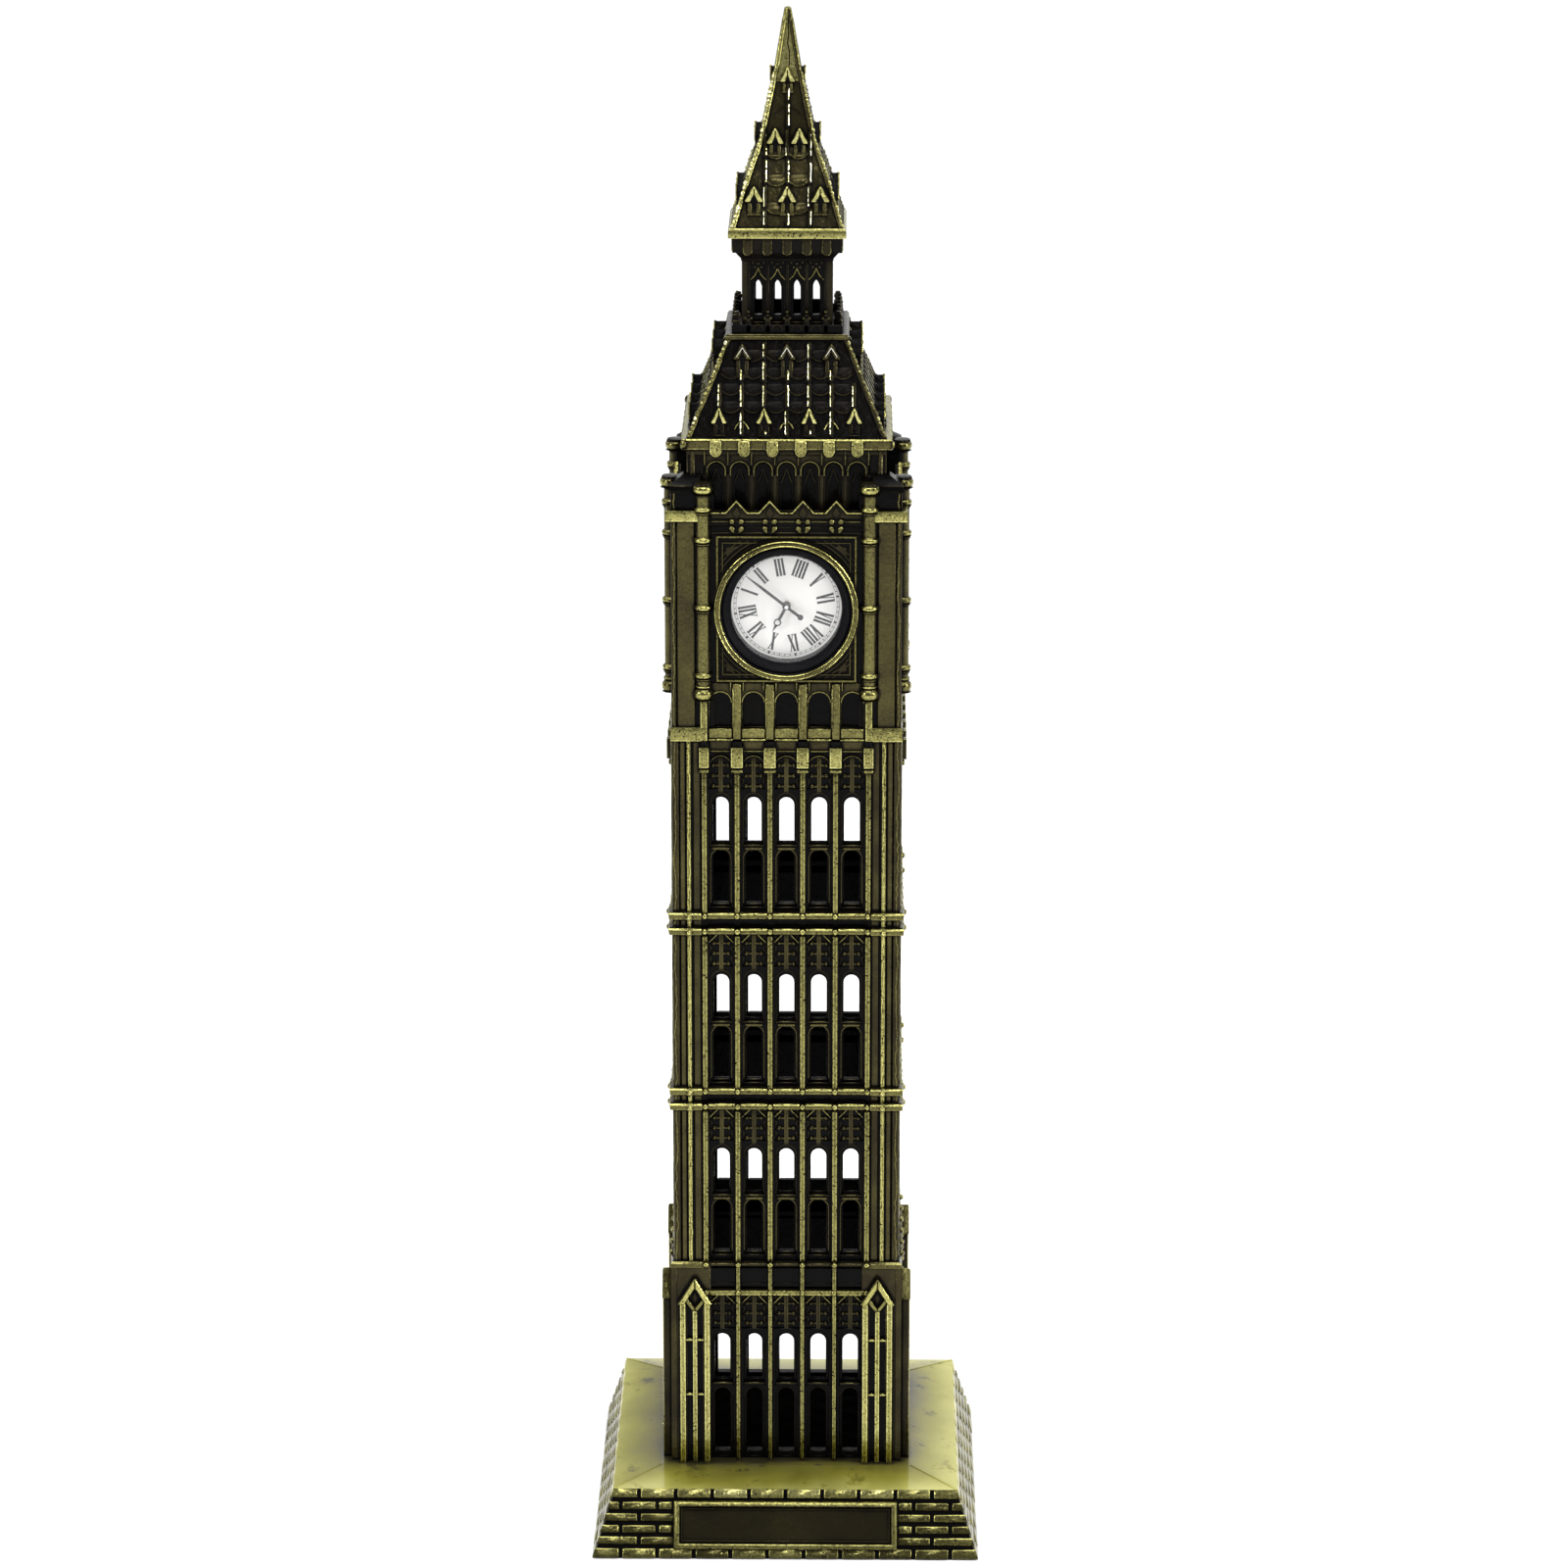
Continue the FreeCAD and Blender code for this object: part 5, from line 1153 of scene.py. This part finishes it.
def brushed_brass():
    """The same metal where it is flat and wide: smooth under a clear coat that mirrors the room, with
    painted shade by the tower and painted reflections.
    """
    f = Finish("brushed_brass", Specular_IOR_Level=0.3, Coat_Weight=0.85, Coat_Roughness=0.09)
    broad, streaks = f.noise(38, 4, 0.55), f.noise(1400, 4, 0.6, (0.12, 0.12, 1))
    # The broad noise swings the shade hard: random tone, made strong to stand in for painted reflections.
    level = f.sway(f.sway(0.49, broad, 1.0), streaks, 0.25)
    spots = f.spread(f.noise(420, 5, 0.7, (0.5, 0.5, 1)), 0.34, 0.42, 0.3, 0.0)
    level = f.maths("SUBTRACT", level, spots)
    level = f.less(level, f.hollows(0.5 * MM), 0.4)
    # painted shade: a wide darkening next to the tower and anything standing on the deck.
    level = f.less(level, f.hollows(6 * MM), 0.55)
    # painted shade next to the tower's foot and a painted sheen towards the crown: lighter away from the
    # middle.
    axes = f.axes()
    from_middle = f.maths("MAXIMUM", f.maths("ABSOLUTE", axes["X"]), f.maths("ABSOLUTE", axes["Y"]))
    level = f.maths("ADD", level, f.spread(from_middle, GROUND * MM, CROWN_HALF * MM, -0.38, 0.34))
    f.set(Base_Color=f.ramp(level, DECK_SHADES), Metallic=f.spread(level, 0.05, 0.4, 0.2, 0.75),
          Roughness=f.spread(streaks, 0.3, 0.7, 0.42, 0.55), Normal=f.bump(broad, 0.5 * MM, 0.35))
    return f.material


def plain(name, dark, light, roughness, metal=0.0, scale=900, stretch=None, height=0.006, shine=0.5):
    """A material whose colour, gloss and surface wander a little between two shades."""
    f = Finish(name, Metallic=metal, Specular_IOR_Level=shine)
    wander, fine = f.noise(scale, 5, 0.62, stretch), f.noise(scale * 2.3, 3, 0.6, stretch)
    f.set(Base_Color=f.ramp(wander, [(0.32, dark), (0.68, light)]),
          Roughness=f.spread(fine, 0.3, 0.7, roughness * 0.8, roughness * 1.25),
          Normal=f.bump(wander, height * MM, 0.7))
    return f.material


def pressed_felt():
    f = Finish("felt", Sheen_Weight=0.4, Sheen_Roughness=0.4)
    fibres = f.noise(2600, 8, 0.75, (1, 1.4, 1))
    f.set(Base_Color=f.ramp(fibres, [(0.3, (0.008, 0.022, 0.013)), (0.7, (0.03, 0.07, 0.042))]),
          Roughness=f.spread(fibres, 0.3, 0.7, 0.85, 0.98), Normal=f.bump(fibres, 0.15 * MM, 0.9))
    return f.material


def clear_glass():
    f = Finish("clear_glass", Base_Color=(1, 1, 1, 1), Alpha=0.05, Specular_IOR_Level=0.5)
    f.set(Roughness=f.spread(f.noise(300, 4), 0.3, 0.8, 0.0, 0.04))
    return f.material


# Dark and light shade, roughness, metal, then the pattern's scale, stretch and height, and shine.
PLAIN = {
    "zinc_steel": ((0.40, 0.41, 0.43), (0.60, 0.60, 0.62), 0.34, 1.0, 2500, (1, 8, 1)),
    "black_plastic": ((0.002, 0.002, 0.0025), (0.006, 0.006, 0.007), 0.42, 0.0, 2600, None, 0.06, 0.04),
    "dial_paper": ((0.80, 0.79, 0.76), (0.86, 0.85, 0.82), 0.55, 0.0, 420, None, 0.004, 0.2),
    "movement_plastic": ((0.62, 0.63, 0.60), (0.74, 0.75, 0.72), 0.45),
    "gear_brass": ((0.50, 0.36, 0.13), (0.72, 0.55, 0.24), 0.28, 1.0, 3500),
    "hand_black": ((0.002, 0.002, 0.003), (0.006, 0.006, 0.007), 0.35, 0.0, 2200, None, 0.006, 0.15),
    "polished_steel": ((0.55, 0.56, 0.58), (0.74, 0.75, 0.77), 0.18, 1.0, 2600),
    "board_green": ((0.008, 0.07, 0.03), (0.02, 0.13, 0.055), 0.3, 0.0, 1700),
    "copper_wire": ((0.42, 0.14, 0.05), (0.72, 0.32, 0.14), 0.3, 1.0, 900, (14, 1, 1), 0.03),
    # soot: a near-black matte used as painted shade on the floor inside the tower.
    "soot": ((0.0015, 0.0015, 0.0015), (0.004, 0.0035, 0.003), 0.95, 0.0, 700, None, 0.05, 0.0),
}
finishes = {name: plain(name, *looks) for name, looks in PLAIN.items()}
finishes["antique_brass"] = antique_brass()
finishes["felt"] = pressed_felt()
finishes["clear_glass"] = clear_glass()
for entry in frame["record"]["subparts"]:
    held = frame["nodes"][entry["node"]].data.materials
    held.clear()
    held.append(finishes[entry["material_slot"]])


# ---- the tower ----
def corner_beads(quarter):
    """All the seams of one wall, ragged in their own way."""
    c = Casting()
    for number, (z, x, out, tone) in enumerate((
            ((DECK, GROUND_TOP), GROUND - 0.5, GROUND, WORN),
            ((GROUND_TOP, 104), SHAFT - 0.5, SHAFT, OLIVE + 0.1),
            ((104, 176), SHAFT - 0.5, SHAFT, OLIVE + 0.1),
            ((48, 135), CORNER_BAR - 0.15, SHAFT + 0.25, BRIGHT))):
        seams(c, z, x, out, tone, quarter * 4 + number)
    return c


def print_dial(side, quarter):
    """The print on a dial that doesn't work."""
    out = max(abs(reach) for corner in span(side + "_dial") for reach in corner[:2])
    on_side(quarter, dial_print(out, 0)).piece(side + "_dial_numerals", slot="hand_black")
    on_side(quarter, printed_hands(out)).piece(side + "_dial_hands", slot="hand_black")


def build_walls():
    """The four wall plates, and the dials in all but the front one."""
    walls = {wide: wall_side(wide) for wide in (WINDOW, REAR_WINDOW)}
    for quarter, side in enumerate(SIDES):
        parts = [walls[REAR_WINDOW if side == "rear" else WINDOW], corner_beads(quarter)]
        if side == "front":
            parts.append(clock_seat())
        if side in ("left", "right"):
            parts.append(screw_lugs())
        on_side(quarter, *parts).piece(side + "_wall_casting", side + "_wall")
        if side != "front":
            print_dial(side, quarter)


def build_plinth():
    """The brick slope, the smooth deck above it and the floor inside the tower, painted black as shade."""
    bricks = Casting()
    for quarter in range(4):
        bricks.take(plinth_side(quarter == 0), quarter)
    bricks.piece("plinth_casting", "plinth")
    all_round(deck_side()).piece("plinth_deck", "plinth", material=brushed_brass())
    # The floor inside the tower in the near-black finish: painted shade.
    all_round(well_side()).piece("plinth_well", "plinth", material=finishes["soot"])


def build_clock():
    """The sleeve and the numerals of the clock that works, in the front wall."""
    insert_bezel().piece("clock_bezel", "insert_sleeve", body="clock_insert", slot="black_plastic")
    numerals = dial_print(-span("clock_dial")[0][1], TWELVE_TURNED)
    numerals.piece("dial_numerals", body="clock_insert", slot="hand_black")


build_walls()
build_plinth()
for name, side in (("belfry", belfry_side()), ("lower_roof", lower_roof_side()),
                   ("lantern", lantern_side()), ("spire", spire_side())):
    all_round(side).piece(name + "_casting", name)
build_clock()

# ---- studio, in metres ----
FLOOR_REACH, FLOOR_GAP = 6.0, 0.0002
AIM = (0, 0, 0.13)  # what the lights point at
CAMERA_AT = (0.0104, -0.88518, 0.38188)
LOOKS_DOWN, LOOKS_LEFT = 0.2845, 0.01242  # radians
SENSOR_MM, LENS_MM = 36.0, 129.86
MIX_FIRST, MIX_SECOND, MIX_RESULT = 6, 7, 2  # the colour sockets of a Mix node


def floor():
    mesh = bpy.data.meshes.new("studio_floor")
    corners = rectangle(FLOOR_REACH, -FLOOR_REACH, FLOOR_REACH)
    mesh.from_pydata([(x, y, cad_low.z - FLOOR_GAP) for x, y in corners], [], [(0, 1, 2, 3)])
    f = Finish("studio_white")
    f.set(Base_Color=f.ramp(f.noise(3), [(0.3, [0.93] * 3), (0.7, [0.95] * 3)]),
          Roughness=f.spread(f.noise(40), 0.3, 0.7, 0.8, 0.9))
    mesh.materials.append(f.material)
    made = placed("studio_floor", mesh)


def softbox(name, place, size, power):
    light = bpy.data.lights.new(name, "AREA")
    light.shape = "RECTANGLE"
    light.size, light.size_y = size
    light.energy = power
    placed(name, light, place, (Vector(AIM) - Vector(place)).to_track_quat("-Z", "Y").to_euler())


def overhead():
    """A wide, weak sun that fills the shadows."""
    fill = bpy.data.lights.new("fill_light", "SUN")
    fill.energy, fill.angle = 0.9, math.radians(80)
    placed("fill_light", fill, (0, 0, 1), (math.radians(-12), 0, 0))


def room():
    """White above and behind, grey below and in front, with a dimmer left half at the back."""
    world = bpy.data.worlds.new("studio")
    world.use_nodes = True
    f = Nodes(world.node_tree, "Generated")
    along = f.add("ShaderNodeVectorMath", operation="DOT_PRODUCT")
    f.join(along.inputs[0], f.place)
    f.join(along.inputs[1], (0.0, 0.5, 0.6))
    axes = f.axes()
    card = f.add("ShaderNodeMix", data_type="RGBA", blend_type="MULTIPLY")
    f.join(card.inputs["Factor"], f.spread(axes["Y"], 0.6, 0.85))
    f.join(card.inputs[MIX_FIRST], f.ramp(along.outputs["Value"], [(0.0, [0.2] * 3), (0.5, [1.0] * 3)]))
    f.join(card.inputs[MIX_SECOND], f.spread(axes["X"], -0.17, -0.03, 0.36, 1.0))
    sky = f.tree.nodes["Background"]
    f.join(sky.inputs["Color"], card.outputs[MIX_RESULT])
    f.join(sky.inputs["Strength"], 1.0)
    bpy.context.scene.world = world


def camera():
    lens = bpy.data.cameras.new("camera")
    lens.sensor_width, lens.lens = SENSOR_MM, LENS_MM
    lens.clip_start, lens.clip_end = 0.05, 30
    made = placed("camera", lens, CAMERA_AT, (math.pi / 2 - LOOKS_DOWN, 0, LOOKS_LEFT))
    bpy.context.scene.camera = made


room()
floor()
softbox("top_light", (0.0, -0.5, 1.2), (0.9, 0.5), 7)
softbox("left_light", (-0.8, -0.5, 0.5), (0.04, 0.7), 4)
softbox("right_light", (0.85, -0.35, 0.5), (0.06, 0.8), 6)
softbox("front_light", (0.25, -1.0, 0.8), (0.04, 0.2), 2)
overhead()
camera()
bpy.context.scene.view_settings.view_transform = "Standard"
